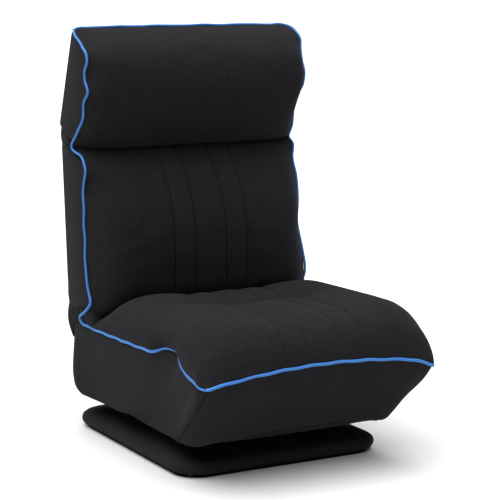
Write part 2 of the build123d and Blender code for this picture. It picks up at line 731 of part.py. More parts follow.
def back_section(s, pipe_n, seam_n, side_puff, strip_puff):
    """Plan of the back cushion at one height: flat behind, two wide panels and three strips in front."""
    down = (0, 0, -1)
    half_width = BACK_HALF_WIDTH
    right_rear = (half_width, BACK_PANEL_N, s)
    left_rear = (-half_width, BACK_PANEL_N, s)
    right_pipe = (half_width, pipe_n, s)
    left_pipe = (-half_width, pipe_n, s)
    seams = [(x, seam_n, s) for x in (-SEAM_OUTER_X, -SEAM_INNER_X, SEAM_INNER_X, SEAM_OUTER_X)]
    return Wire([
        line(right_rear, left_rear),
        line(left_rear, left_pipe),
        arc(left_pipe, seams[0], side_puff, down),
        arc(seams[0], seams[1], strip_puff, down),
        arc(seams[1], seams[2], strip_puff, down),
        arc(seams[2], seams[3], strip_puff, down),
        arc(seams[3], right_pipe, side_puff, down),
        line(right_pipe, right_rear),
    ])


def back_cushion():
    """The sewn front of the back: rounded at the foot, fullest at the lumbar, drawn in under the headrest."""
    pipe = BACK_PIPE_N
    front = -BACK_DEPTH
    side = 40.0
    strip = 8.0
    foot = BACK_FOOT_S
    top = BACK_TOP_S
    sections = [
        back_section(foot, 0.80 * pipe, 0.58 * front, 0.15 * side, 0.2 * strip),
        back_section(foot + 9.0, 0.98 * pipe, 0.76 * front, 0.5 * side, 0.5 * strip),
        back_section(foot + 30.0, 1.04 * pipe, 0.90 * front, 0.85 * side, 0.8 * strip),
        back_section(foot + 85.0, 1.02 * pipe, 0.98 * front, side, strip),
        back_section(foot + 165.0, pipe, front, side, strip),
        back_section(top - 130.0, 0.98 * pipe, 0.95 * front, 0.95 * side, strip),
        back_section(top - 80.0, 1.00 * pipe, 0.83 * front, 0.75 * side, 0.8 * strip),
        back_section(top - 36.0, 1.08 * pipe, 0.66 * front, 0.35 * side, 0.5 * strip),
        back_section(top - 12.0, 0.85 * pipe, 0.52 * front, 0.15 * side, 0.3 * strip),
        back_section(top, 0.55 * pipe, 0.40 * front, 0.08 * side, 0.2 * strip),
    ]
    cushion = Part() + Solid.make_loft(sections)
    half_pocket = BACK_LEAF_X + LEAF_T + BOLT_HEAD_T + POCKET_GAP
    front_n = -BACK_TUBE_R - STRAP_T - POCKET_GAP
    cushion -= block(-half_pocket, half_pocket, front_n, BACK_PANEL_N,
                     BACK_TUBE_FOOT_S - POCKET_GAP, BACK_TOP_S)
    slot_x0 = SEAT_TUBE_X - SEAT_TUBE_R
    slot_n = -LEAF_HEAD_R - POCKET_GAP
    for sign in (-1, 1):
        slot_x = sorted((sign * slot_x0, sign * half_pocket))
        cushion -= block(*slot_x, slot_n, BACK_PANEL_N, 0, BACK_TUBE_FOOT_S)
        cushion -= back_pipe_tube(sign, PIPE_R + PIPE_GAP)
    return BACK_FRAME * cushion


def back_pipe_tube(sign, radius):
    """Piping up one front edge of the back, bowed forward below the headrest and drawn in at the crease."""
    x = sign * BACK_HALF_WIDTH
    path = FilletPolyline(
        (x, 0.62 * BACK_PIPE_N, BACK_FOOT_S + 2),
        (x, 1.04 * BACK_PIPE_N, BACK_FOOT_S + 20),
        (x, 0.98 * BACK_PIPE_N, BACK_TOP_S - 100),
        (x, 1.12 * BACK_PIPE_N, BACK_TOP_S - 34),
        (x, 0.52 * BACK_PIPE_N, BACK_TOP_S - 2),
        radius=[24.0, 200.0, 50.0])
    return tube(path, radius)


def back_rear_panel():
    """Padded panel that closes the back behind the frame."""
    height = BACK_PANEL_TOP_S - BACK_PANEL_FOOT_S
    slab = padded_slab(2 * BACK_HALF_WIDTH, height, BACK_PANEL_CORNER_R, BACK_PANEL_T, BACK_PANEL_T / 2)
    middle = (BACK_PANEL_TOP_S + BACK_PANEL_FOOT_S) / 2
    return BACK_FRAME * Pos(0, BACK_PANEL_N, middle) * Rot(-90, 0, 0) * slab


# Headrest


def head_section(x, depth, foot_depth, height, rear_height):
    """Side outline of the headrest at one place along X: a bulging front, a rounded top and a flat rear."""
    rear = HEAD_PANEL_N
    foot = Vector(x, -foot_depth, HEAD_CHIN_S)
    front = Vector(x, -depth, 0.52 * height)
    top = Vector(x, 0, height)
    crown = Vector(x, 0.75 * rear, rear_height + 0.8 * (height - rear_height))
    rear_top = Vector(x, rear, rear_height)
    rear_foot = Vector(x, rear, HEAD_FOOT_S)
    low = Edge.make_tangent_arc(front, Vector(0, 0, -1), foot) @ 0.5
    high = Edge.make_tangent_arc(front, Vector(0, 0, 1), top) @ 0.5
    return Wire([
        Edge.make_three_point_arc(foot, low, front),
        Edge.make_three_point_arc(front, high, top),
        Edge.make_three_point_arc(top, crown, rear_top),
        Edge.make_line(rear_top, rear_foot),
        Edge.make_line(rear_foot, foot),
    ])


def head_cushion():
    """The headrest bolster: full in the middle, drawn in to the piping at both ends."""
    half = HEAD_HALF_WIDTH
    sections = []
    for share in (1.0, 0.965, 0.9, 0.78, 0.55, 0.28, 0.0, -0.28, -0.55, -0.78, -0.9, -0.965, -1.0):
        full = sqrt(1 - abs(share) ** 5)
        sections.append(head_section(
            share * half,
            HEAD_DEPTH * (0.53 + 0.47 * full),
            HEAD_DEPTH * (0.36 + 0.12 * full),
            HEAD_HEIGHT * (0.93 + 0.07 * full),
            HEAD_PANEL_TOP_S * (0.97 + 0.03 * full),
        ))
    cushion = Part() + Solid.make_loft(sections)
    half_pocket = NECK_OUTER_X + POCKET_GAP
    front_n = -NECK_HEAD_R - POCKET_GAP
    cushion -= block(-half_pocket, half_pocket, front_n, HEAD_PANEL_N,
                     HEAD_FOOT_S + POCKET_GAP, HEAD_FRAME_TOP_S + HEAD_TUBE_R + RUN_GAP)
    slot_x0 = BACK_TUBE_X - BACK_TUBE_R
    for sign in (-1, 1):
        slot_x = sorted((sign * slot_x0, sign * half_pocket))
        cushion -= block(*slot_x, front_n, HEAD_PANEL_N, -NECK_HEAD_R, HEAD_FOOT_S + 2 * POCKET_GAP)
    cushion -= head_pipe_tube(PIPE_R + PIPE_GAP)
    return HEAD_FRAME * cushion


def head_pipe_tube(radius):
    """Piping up one end of the headrest, across its top rear edge and down the other end."""
    half = HEAD_HALF_WIDTH
    right = [
        (half, -0.38 * HEAD_DEPTH, HEAD_CHIN_S + 2),
        (half, -0.56 * HEAD_DEPTH, 0.46 * HEAD_HEIGHT),
        (half, -0.40 * HEAD_DEPTH, 0.80 * HEAD_HEIGHT),
        (half, 0.8 * HEAD_PANEL_N, 0.935 * HEAD_HEIGHT),
    ]
    left = [(-x, n, s) for x, n, s in right]
    crown = (0.0, 0.8 * HEAD_PANEL_N, 0.965 * HEAD_HEIGHT)
    side_r = 120.0
    shoulder_r = 40.0
    corner_r = 16.0
    crown_r = 900.0
    radii = [side_r, shoulder_r, corner_r, crown_r, corner_r, shoulder_r, side_r]
    path = FilletPolyline(*right, crown, *reversed(left), radius=radii)
    return tube(path, radius)


def head_rear_panel():
    height = HEAD_PANEL_TOP_S - HEAD_FOOT_S
    slab = padded_slab(2 * HEAD_HALF_WIDTH, height, HEAD_PANEL_CORNER_R, HEAD_PANEL_T, HEAD_PANEL_T / 2)
    slab = Pos(0, HEAD_PANEL_N, (HEAD_PANEL_TOP_S + HEAD_FOOT_S) / 2) * Rot(-90, 0, 0) * slab
    slab -= head_pipe_tube(PIPE_R + PIPE_GAP)
    return HEAD_FRAME * slab


def head_tube_frame():
    return HEAD_FRAME * bent_frame(HEAD_TUBE_X, HEAD_TUBE_R, HEAD_TUBE_FOOT_S, HEAD_FRAME_TOP_S,
                                   HEAD_FRAME_BEND_R, head_bolt_points())


os.makedirs("parts", exist_ok=True)

save("base_antislip_cloth", antislip_cloth())
save("base_board", base_board())
save("base_riser_block", riser_block())
save("base_cover", base_cover())

save("swivel_lower_plate", swivel_plate(LOWER_PLATE_Z, LOWER_SCREW_PITCH, RIVET_R + PIN_CLEARANCE))
save("swivel_upper_plate", swivel_plate(UPPER_PLATE_Z, UPPER_SCREW_PITCH, RIVET_R))
save("swivel_balls", *swivel_balls())
save("swivel_rivet", swivel_rivet())
save("swivel_lower_screws", *screws(LOWER_SCREW_PITCH, LOWER_PLATE_Z + PLATE_T, -1))
save("swivel_upper_screws", *screws(UPPER_SCREW_PITCH, UPPER_PLATE_Z, 1))

save("seat_board", seat_board())
save("seat_dust_cover", dust_cover())
save("seat_frame", seat_frame())
for name, bar_y in zip(("front", "rear"), SEAT_BAR_YS):
    save(f"seat_cross_bar_{name}", seat_cross_bar(bar_y))
save("seat_frame_saddles", *saddles())
save("seat_foam_core", foam_core())
save("seat_skirt", seat_skirt())
save("seat_cushion", seat_cushion())
save("seat_piping", seat_pipe_path_tube(PIPE_R))

both_sides("seat_hinge_leaf", seat_leaf())
both_sides("recline_ratchet", SEAT_HINGE_FRAME * ratchet(RATCHET_R, RATCHET_TEETH, PIN_R, RATCHET_X, RATCHET_T))
both_sides("recline_pin", SEAT_HINGE_FRAME * pin(PIN_R, SEAT_LEAF_X, BACK_LEAF_X + LEAF_T + RUN_GAP))
save("seat_hinge_bolts", *with_mirror(seat_bolts()))

save("back_frame", BACK_FRAME * back_tube_frame())
for name, bar_s in zip(("lower", "upper"), BACK_BAR_SS):
    save(f"back_cross_bar_{name}", BACK_FRAME * back_cross_bar(bar_s))
save("back_webbing", *[BACK_FRAME * strap for strap in webbing()])
save("back_cushion", back_cushion())
save("back_rear_panel", back_rear_panel())
both_sides("back_piping", BACK_FRAME * back_pipe_tube(1, PIPE_R))
both_sides("back_hinge_leaf", back_leaf())
both_sides("recline_pawl", BACK_FRAME * pawl(RATCHET_R, RATCHET_X + RUN_GAP, BACK_LEAF_X))
back_bolts = bolts(back_bolt_points(), BACK_LEAF_X + LEAF_T, BACK_TUBE_X - BACK_TUBE_R)
save("back_hinge_bolts", *with_mirror([BACK_FRAME * bolt for bolt in back_bolts]))

NECK_FRAME = BACK_FRAME * Pos(0, 0, NECK_S)
both_sides("neck_hinge_leaf", neck_leaf())
both_sides("neck_ratchet", NECK_FRAME * ratchet(NECK_RATCHET_R, NECK_TEETH, NECK_PIN_R, NECK_RATCHET_X,
                                                NECK_RATCHET_T))
both_sides("neck_pin", NECK_FRAME * pin(NECK_PIN_R, NECK_LEAF_X, HEAD_LEAF_X + NECK_LEAF_T + RUN_GAP))
neck_bolts = bolts(neck_bolt_points(), NECK_LEAF_X + NECK_LEAF_T, BACK_TUBE_X - BACK_TUBE_R)
save("neck_hinge_bolts", *with_mirror([NECK_FRAME * bolt for bolt in neck_bolts]))

save("headrest_frame", head_tube_frame())
save("headrest_cushion", head_cushion())
save("headrest_rear_panel", head_rear_panel())
save("headrest_piping", HEAD_FRAME * head_pipe_tube(PIPE_R))
both_sides("head_hinge_leaf", head_leaf())
both_sides("neck_pawl", HEAD_FRAME * pawl(NECK_RATCHET_R, NECK_RATCHET_X + RUN_GAP, HEAD_LEAF_X))
head_bolts = bolts(head_bolt_points(), HEAD_LEAF_X + NECK_LEAF_T, HEAD_TUBE_X - HEAD_TUBE_R)
save("head_hinge_bolts", *with_mirror([HEAD_FRAME * bolt for bolt in head_bolts]))
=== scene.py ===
import json

import bmesh
import bpy
import numpy as np
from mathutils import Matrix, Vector


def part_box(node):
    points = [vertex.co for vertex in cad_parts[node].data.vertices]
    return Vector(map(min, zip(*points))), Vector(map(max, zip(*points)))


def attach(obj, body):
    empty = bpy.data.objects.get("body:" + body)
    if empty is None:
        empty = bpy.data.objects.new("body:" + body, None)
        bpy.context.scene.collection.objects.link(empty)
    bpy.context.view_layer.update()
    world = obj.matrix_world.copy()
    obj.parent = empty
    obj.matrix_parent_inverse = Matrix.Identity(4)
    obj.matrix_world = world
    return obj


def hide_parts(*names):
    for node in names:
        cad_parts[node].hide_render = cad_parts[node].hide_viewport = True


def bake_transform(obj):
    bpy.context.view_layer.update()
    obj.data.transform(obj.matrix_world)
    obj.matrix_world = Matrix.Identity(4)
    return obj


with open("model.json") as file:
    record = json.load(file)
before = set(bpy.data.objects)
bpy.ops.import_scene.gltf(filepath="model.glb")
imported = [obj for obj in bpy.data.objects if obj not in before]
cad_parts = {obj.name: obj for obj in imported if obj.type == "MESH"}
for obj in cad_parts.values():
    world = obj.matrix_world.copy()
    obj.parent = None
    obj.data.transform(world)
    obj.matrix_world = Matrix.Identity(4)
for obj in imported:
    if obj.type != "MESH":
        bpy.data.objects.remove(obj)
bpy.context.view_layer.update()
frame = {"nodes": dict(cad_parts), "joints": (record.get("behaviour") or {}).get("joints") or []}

# Base cover: black woven polyester pulled over foam on the floor board, with a fat rolled edge.
# Its four sides are sewn at the corners, and the hem is turned under and stapled to the board.
BASE_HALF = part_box("base_cover")[1].xy
BASE_CORNER_R = 0.062
BASE_COLUMNS = 220
BASE_SECTION = [
    (0.120, 0.0062), (0.040, 0.0050), (0.014, 0.0046), (0.003, 0.0100), (0.000, 0.0200), (0.004, 0.0305),
    (0.016, 0.0372), (0.045, 0.0450), (0.080, 0.0545), (0.105, 0.0590), (0.128, 0.0600), (0.1385, 0.0585),
    (0.1385, 0.0300)]
BASE_SEAM_DEPTH = 0.0022
BASE_SEAM_WIDTH = 0.006
BASE_RIPPLE = 0.0012
BASE_LOOSE = (0.0300, 0.0597)


def lengths(points):
    """How far along a line each of its points lies: the summed distances between neighbours."""
    return np.concatenate([[0.0], np.cumsum(np.linalg.norm(np.diff(points, axis=0), axis=1))])


def even_line(curve, count):
    """Points evenly spaced by length along a line that is given by many points."""
    length = lengths(curve)
    even = np.linspace(0.0, length[-1], count)
    return np.stack([np.interp(even, length, axis) for axis in curve.T], axis=-1)


def smooth_line(points, count):
    """Points evenly spaced along a cubic curve through a few chosen points.
    The slope at each chosen point is the one between its neighbours, weighed by their distances."""
    p = np.asarray(points, float)
    t = lengths(p)
    slope = np.gradient(p, t, axis=0)
    fine = np.linspace(0.0, t[-1], 12 * count)
    i = np.clip(np.searchsorted(t, fine, side="right") - 1, 0, len(t) - 2)
    gap = (t[i + 1] - t[i])[:, None]
    f = (fine - t[i])[:, None] / gap
    curve = (2 * f**3 - 3 * f**2 + 1) * p[i] + (f**3 - 2 * f**2 + f) * gap * slope[i]
    curve += (3 * f**2 - 2 * f**3) * p[i + 1] + (f**3 - f**2) * gap * slope[i + 1]
    return even_line(curve, count)


def rounded_outline(half_x, half_y, radius, count):
    """A closed rectangle in plan whose corners are arcs, as evenly spaced points from the +X side."""
    turn = np.linspace(0.0, 2 * np.pi, 401)
    x = np.sign(np.cos(turn)) * (half_x - radius) + radius * np.cos(turn)
    y = np.sign(np.sin(turn)) * (half_y - radius) + radius * np.sin(turn)
    return even_line(np.stack([x, y], axis=-1), count + 1)[:-1]


def skin(name, grid, around=False, along=False, pins=None):
    """A mesh over a grid of points: a quad between each four neighbours, with coinciding points merged.
    around joins the last column to the first, along the last row to the first. UV is length in metres
    along the middle row and one column, and faces are turned so that the volume inside is positive."""
    rows, cols = grid.shape[:2]
    r, c = np.meshgrid(np.arange(rows - (not along)), np.arange(cols - (not around)), indexing="ij")
    corner_r = np.stack([r, r, r + 1, r + 1], axis=-1).reshape(-1, 4)
    corner_c = np.stack([c, c + 1, c + 1, c], axis=-1).reshape(-1, 4)
    points = grid.reshape(-1, 3)
    index = (corner_r % rows) * cols + corner_c % cols
    p0, p1, p2, p3 = (points[index[:, k]] for k in range(4))
    volume = np.sum(p0 * (np.cross(p1, p2) + np.cross(p2, p3)))
    if volume < 0:
        index, corner_r, corner_c = index[:, ::-1], corner_r[:, ::-1], corner_c[:, ::-1]
    u = lengths(np.vstack([grid[rows // 2], grid[rows // 2][:1]]))
    v = lengths(np.vstack([grid[:, cols // 4], grid[:1, cols // 4]]))
    mesh = bpy.data.meshes.new(name)
    mesh.from_pydata(points.tolist(), [], index.tolist())
    uv = np.stack([u[corner_c], v[corner_r]], axis=-1)
    mesh.uv_layers.new(name="UVMap").data.foreach_set("uv", uv.astype(np.float32).ravel())
    if pins is not None:
        held = mesh.attributes.new("pin", "FLOAT", "POINT")
        held.data.foreach_set("value", pins.astype(np.float32).ravel())
    shape = bmesh.new()
    shape.from_mesh(mesh)
    bmesh.ops.remove_doubles(shape, verts=shape.verts, dist=1e-6)
    shape.to_mesh(mesh)
    shape.free()
    mesh.shade_smooth()
    obj = bpy.data.objects.new(name, mesh)
    bpy.context.scene.collection.objects.link(obj)
    return obj


def srgb(code):
    """A colour as linear RGBA from its sRGB hex code."""
    value = np.array([int(code[i:i + 2], 16) for i in (1, 3, 5)]) / 255
    linear = np.where(value <= 0.04045, value / 12.92, ((value + 0.055) / 1.055) ** 2.4)
    return (*linear.tolist(), 1.0)


def node(tree, kind, inputs=None, **settings):
    """Add a node with its settings. inputs gives its sockets by name or number, each with a value or with
    an output to link."""
    made = tree.nodes.new(kind)
    for key, value in settings.items():
        setattr(made, key, value)
    for key, value in (inputs or {}).items():
        if isinstance(value, bpy.types.NodeSocket):
            tree.links.new(value, made.inputs[key])
        else:
            made.inputs[key].default_value = value
    return made


def new_material(name):
    """An empty node material and its tree."""
    material = bpy.data.materials.new(name)
    material.use_nodes = True
    material.node_tree.nodes.clear()
    return material, material.node_tree


def dress(material, *objects):
    """Give objects, or CAD nodes by name, one material."""
    for item in objects:
        obj = frame["nodes"][item] if isinstance(item, str) else item
        obj.data.materials.clear()
        obj.data.materials.append(material)


# Black woven polyester: a dense plain weave of matt filament yarn. It gives an even black with a faint
# pale bloom at grazing angles. Real yarns are 0.6 mm apart; they are drawn 2.4 mm apart so that they show.
YARN = 0.0024
FUZZ = 0.0026
DRIFT = 1 / 9
WAVE_UNIT = 2 * np.pi / 20


def cloth_material(name, dark, light, yarn, bloom, rough):
    """Two crossed sets of yarn ridges, a slow drift of tone across the cloth, and fine fuzz between yarns.
    WAVE_UNIT is the scale at which the wave pattern has one ridge to the metre."""
    material, tree = new_material(name)
    uv = node(tree, "ShaderNodeTexCoord").outputs["UV"]
    place = node(tree, "ShaderNodeTexCoord").outputs["Object"]
    ridges = WAVE_UNIT / yarn
    warp = node(tree, "ShaderNodeTexWave", {"Vector": uv, "Scale": ridges, "Distortion": 0.6},
                bands_direction="X")
    weft = node(tree, "ShaderNodeTexWave", {"Vector": uv, "Scale": ridges, "Distortion": 0.6},
                bands_direction="Y")
    weave = node(tree, "ShaderNodeMath", {0: warp.outputs["Fac"], 1: weft.outputs["Fac"]},
                 operation="MULTIPLY")
    fuzz = node(tree, "ShaderNodeTexNoise", {"Vector": place, "Scale": 1 / FUZZ, "Detail": 1.0})
    drift = node(tree, "ShaderNodeTexNoise", {"Vector": place, "Scale": 1 / DRIFT, "Detail": 3.0})
    tone = node(tree, "ShaderNodeMath", {0: weave.outputs[0], 1: 0.5, 2: fuzz.outputs["Fac"]},
                operation="MULTIPLY_ADD")
    tone = node(tree, "ShaderNodeMath", {0: drift.outputs["Fac"], 1: 0.15, 2: tone.outputs[0]},
                operation="MULTIPLY_ADD")
    shade = node(tree, "ShaderNodeMapRange", {"Value": tone.outputs[0], "From Min": 0.42, "From Max": 0.94})
    colour = node(tree, "ShaderNodeMix", {0: shade.outputs[0], 6: srgb(dark), 7: srgb(light)},
                  data_type="RGBA")
    matt = node(tree, "ShaderNodeMapRange",
                {"Value": fuzz.outputs["Fac"], "From Min": 0.3, "From Max": 0.7,
                 "To Min": rough - 0.06, "To Max": rough + 0.05})
    height = node(tree, "ShaderNodeMath", {0: fuzz.outputs["Fac"], 1: 0.6, 2: weave.outputs[0]},
                  operation="MULTIPLY_ADD")
    bump = node(tree, "ShaderNodeBump", {"Height": height.outputs[0], "Strength": 0.35, "Distance": 0.0006})
    shader = node(tree, "ShaderNodeBsdfPrincipled",
                  {"Base Color": colour.outputs[2], "Roughness": matt.outputs[0], "Normal": bump.outputs[0],
                   "Specular IOR Level": 0.14, "Sheen Weight": bloom, "Sheen Roughness": 0.55,
                   "Sheen Tint": srgb("#b9bcc6")})
    node(tree, "ShaderNodeOutputMaterial", {"Surface": shader.outputs[0]})
    return material


woven_cloth = cloth_material("black_woven_polyester", "#1b1b1d", "#303034", YARN, bloom=0.03, rough=0.86)

section = smooth_line(BASE_SECTION, 56)
outline = np.stack([
    rounded_outline(BASE_HALF.x - i, BASE_HALF.y - i, BASE_CORNER_R - 0.3 * min(i, 0.08), BASE_COLUMNS)
    for i in section[:, 0]])
height = np.repeat(section[:, 1][:, None], BASE_COLUMNS, axis=1)
corner_gap = np.abs(np.abs(outline[..., 0]) - np.abs(outline[..., 1]) - BASE_HALF.x + BASE_HALF.y)
seam = BASE_SEAM_DEPTH * np.exp(-corner_gap / BASE_SEAM_WIDTH)
reach = np.linalg.norm(outline, axis=-1)
ripple = BASE_RIPPLE * np.sin(31 * outline[..., 0] + 3) * np.sin(27 * outline[..., 1] + 1)
outline *= (1 - (seam + 0.3 * np.abs(ripple)) / reach)[..., None]
height += (ripple - seam) * (height > BASE_LOOSE[0]) * (height < BASE_LOOSE[1])
base_cover = skin("base_cover_fabric", np.dstack([outline, height]), around=True, along=True)
dress(woven_cloth, base_cover)
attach(base_cover, "base")
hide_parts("base_cover")

# Floor board, riser and seat board: birch plywood, sawn and left bare under the covers, pale with darker
# grain. The antislip cloth under the floor board is a dull black felt, stapled on.
# Its fibres are drawn coarser than they are, so that they show.
FELT_FIBRE = 0.003
PLY_FIBRE = 0.25
PLY_RING = 1 / 60
PLY_GRAIN = 0.004


def two_tone(material, pattern, height, dark, light, rough, strength, depth, metallic=0.0):
    """Finish a hard material: its two tones follow one pattern and its bump another, given as outputs."""
    tree = material.node_tree
    tint = node(tree, "ShaderNodeValToRGB", {"Fac": pattern})
    tint.color_ramp.elements[0].color = srgb(dark)
    tint.color_ramp.elements[1].color = srgb(light)
    bump = node(tree, "ShaderNodeBump", {"Height": height, "Strength": strength, "Distance": depth})
    shader = node(tree, "ShaderNodeBsdfPrincipled",
                  {"Base Color": tint.outputs[0], "Metallic": metallic, "Roughness": rough,
                   "Normal": bump.outputs[0]})
    node(tree, "ShaderNodeOutputMaterial", {"Surface": shader.outputs[0]})
    return material


def plywood_material():
    """Pale wood whose grain runs along X, stretched by noise, with a darker line every few millimetres."""
    material, tree = new_material("birch_plywood")
    place = node(tree, "ShaderNodeTexCoord").outputs["Object"]
    along = node(tree, "ShaderNodeMapping",
                 {"Vector": place, "Scale": (1 / PLY_FIBRE, 1 / PLY_RING, 1 / PLY_GRAIN)})
    grain = node(tree, "ShaderNodeTexNoise", {"Vector": along.outputs[0], "Scale": 1.0, "Detail": 5.0})
    return two_tone(material, grain.outputs["Fac"], grain.outputs["Fac"], "#b08a5c", "#dcc19a",
                    rough=0.7, strength=0.2, depth=0.0005)


felt = cloth_material("black_antislip_felt", "#101011", "#1d1d1f", FELT_FIBRE, bloom=0.1, rough=0.92)
dress(plywood_material(), "base_board", "base_riser_block", "seat_board")
dress(felt, "base_antislip_cloth")

# Swivel: two pressed steel plates with balls between them, a rivet on the axis and countersunk screws.
# All are zinc plated, which gives a pale grey metal with a slightly cloudy, faintly blue surface.
ZINC_CLOUD = 0.012
ZINC_GRAIN = 1 / 900


def zinc_material():
    """Plated steel: cloudy blotches a centimetre across in tone and gloss, and a fine satin grain."""
    material, tree = new_material("zinc_plated_steel")
    place = node(tree, "ShaderNodeTexCoord").outputs["Object"]
    cloud = node(tree, "ShaderNodeTexNoise", {"Vector": place, "Scale": 1 / ZINC_CLOUD, "Detail": 4.0})
    grain = node(tree, "ShaderNodeTexNoise", {"Vector": place, "Scale": 1 / ZINC_GRAIN, "Detail": 2.0})
    gloss = node(tree, "ShaderNodeMapRange", {"Value": cloud.outputs["Fac"], "To Min": 0.28, "To Max": 0.48})
    return two_tone(material, cloud.outputs["Fac"], grain.outputs["Fac"], "#9aa0a6", "#c9ced2",
                    rough=gloss.outputs[0], strength=0.1, depth=0.0002, metallic=1.0)


zinc = zinc_material()
dress(zinc, "swivel_lower_plate", "swivel_upper_plate", "swivel_balls", "swivel_rivet",
      "swivel_lower_screws", "swivel_upper_screws")

# Seat frame: round steel tube bent to a U, with two cross bars welded in, powder coated black.
# Sheet saddles clip it to the seat board, and a foam block fills the middle.
PEEL = 0.0015
FOAM_CELL = 1 / 420


def coated_tube_material():
    """Powder coat: satin black with the fine orange-peel dimples that the baked powder leaves."""
    material, tree = new_material("black_powder_coat")
    place = node(tree, "ShaderNodeTexCoord").outputs["Object"]
    peel = node(tree, "ShaderNodeTexNoise", {"Vector": place, "Scale": 1 / PEEL, "Detail": 2.0})
    gloss = node(tree, "ShaderNodeMapRange", {"Value": peel.outputs["Fac"], "To Min": 0.38, "To Max": 0.52})
    return two_tone(material, peel.outputs["Fac"], peel.outputs["Fac"], "#121314", "#1c1d1f",
                    rough=gloss.outputs[0], strength=0.25, depth=0.0003)


def foam_material():
    """Open-cell polyurethane foam: pale yellow with small dark pores from cell noise."""
    material, tree = new_material("polyurethane_foam")
    place = node(tree, "ShaderNodeTexCoord").outputs["Object"]
    pores = node(tree, "ShaderNodeTexVoronoi", {"Vector": place, "Scale": 1 / FOAM_CELL})
    return two_tone(material, pores.outputs["Distance"], pores.outputs["Distance"], "#b9a878", "#e6d9b0",
                    rough=0.95, strength=0.5, depth=0.001)


coated_tube = coated_tube_material()
dress(coated_tube, "seat_frame", "seat_cross_bar_front", "seat_cross_bar_rear")
dress(zinc, "seat_frame_saddles")
dress(foam_material(), "seat_foam_core")

# Seat skirt: foam-backed knitted polyester panels round the seat block, sewn to the piped seam above, with
# a seam at each front corner, and stapled under the seat board. The knit is a matt, deep black with paler
# fuzz. Its loops, really half a millimetre apart, are drawn 2.2 mm apart so that they show.
KNIT = 0.0022
SEAT_FOOT_Z = 0.079
FRONT_FOOT_RISE = 0.019
SIDE_SEAM = [
    (0.2715, 0.186, 0.2650), (0.2725, 0.143, 0.2590), (0.2725, 0.088, 0.2570), (0.2725, 0.000, 0.2580),
    (0.2725, -0.100, 0.2595), (0.2720, -0.190, 0.2610), (0.2720, -0.263, 0.2590), (0.2745, -0.334, 0.2490),
    (0.2770, -0.385, 0.2400), (0.2785, -0.422, 0.2325), (0.2700, -0.4375, 0.2330)]
REAR_SEAM = [
    (0.0, 0.2490, 0.2250), (0.150, 0.2490, 0.2260), (0.235, 0.2470, 0.2310), (0.2640, 0.2350, 0.2340),
    (0.2715, 0.2150, 0.2490), (0.2715, 0.186, 0.2650)]
REAR_FOOT = [
    (0.0, 0.226, 0.0), (0.150, 0.226, 0.0), (0.205, 0.222, 0.0), (0.236, 0.204, 0.0), (0.243, 0.170, 0.0)]
SIDE_FOOT = [(0.243, 0.170, 0.0), (0.2440, 0.0, 0.0), (0.2440, -0.120, 0.0), (0.2425, -0.232, 0.0)]
FRONT_FOOT = [
    (0.2425, -0.232, 0.0), (0.2430, -0.268, 0.0), (0.2385, -0.298, 0.0), (0.2150, -0.313, 0.0),
    (0.1600, -0.320, 0.0), (0.0800, -0.325, 0.0), (0.0, -0.327, 0.0)]
KINK_Y = -0.270
KINK_BEHIND = 0.072
KINK_BEFORE = 0.044
KINK_IN = 0.0150
KINK_UP = 0.0190
DROOP_AT = (0.276, -0.432)
DROOP_REACH = 0.038
DROOP_DEPTH = 0.010
CORNER_PUFF = 0.014
CORNER_OUT = (0.87, -0.49, 0.0)
CORNER_COLUMNS = 9
CORNER_SHIFT = 4
NOTCH = 0.0038
NOTCH_AT_FOOT = 0.0040
NOTCH_FADE = 0.05
FOOT_LAP = 0.002
LIP_RISE = 0.024
LIP_BOW = 0.003
SEAM_HALF = 0.0019
SKIRT_INNER = (0.95, 0.95, 1.0)
SKIRT_FLOOR = 0.012
SKIRT_TUCK = 0.004

knit_cloth = cloth_material("black_knitted_polyester", "#141415", "#2c2c2f", KNIT, bloom=0.05, rough=0.9)


def ramp(value, start, end):
    """A straight rise from 0 at start to 1 at end, level beyond them."""
    return np.clip((value - start) / (end - start), 0, 1)


def ease(value, start, end):
    """The same rise with soft ends: three times its square less twice its cube."""
    t = ramp(value, start, end)
    return t ** 2 * (3 - 2 * t)


def kink(points):
    """How far a seam that follows the seat edge is drawn in and up where the side panel is gathered:
    a flat-topped curve along Y behind its end and a bell curve in front. The right front corner hangs by a
    bell curve round it."""
    y = points[..., 1]
    off = np.abs(y - KINK_Y)
    bell = np.where(y > KINK_Y, np.exp(-(off / KINK_BEHIND) ** 4), np.exp(-(off / KINK_BEFORE) ** 2))
    off = np.linalg.norm(points[..., :2] - DROOP_AT, axis=-1)
    rise = KINK_UP * bell ** 1.4 - DROOP_DEPTH * np.exp(-(off / DROOP_REACH) ** 2)
    return np.stack([-np.sign(points[..., 0]) * KINK_IN * bell, 0 * y, rise], axis=-1)


def lip_line(count):
    """The front piped seam from the right corner to the left one: level in plan, crowned as a parabola."""
    x0, y0, z0 = SIDE_SEAM[-1]
    x = np.linspace(x0, -x0, count)
    crown = 1 - (x / x0) ** 2
    return np.stack([x, y0 - LIP_BOW * crown, z0 + LIP_RISE * crown], axis=-1)


def mirrored(points):
    """The same line on the other side, run the other way."""
    return (np.asarray(points) * (-1, 1, 1))[::-1]


def sew(grid, columns, sink):
    """Seams sewn down columns of a grid: the seam is moved by sink, and the cloth SEAM_HALF to either side
    of it stays in place, which leaves a narrow groove. Gives the new grid and the seams' new columns."""
    for k, column in enumerate(columns):
        c = column + 2 * k
        seam = grid[:, c]
        beside = []
        for other in (grid[:, c - 1], grid[:, c + 1]):
            far = np.maximum(np.linalg.norm(other - seam, axis=1, keepdims=True), 1e-9)
            beside.append((seam + (other - seam) * np.minimum(SEAM_HALF / far, 0.5))[:, None])
        grid = np.hstack([grid[:, :c], beside[0], (seam + sink)[:, None], beside[1], grid[:, c + 1:]])
    return grid, np.asarray(columns) + 2 * np.arange(len(columns)) + 1


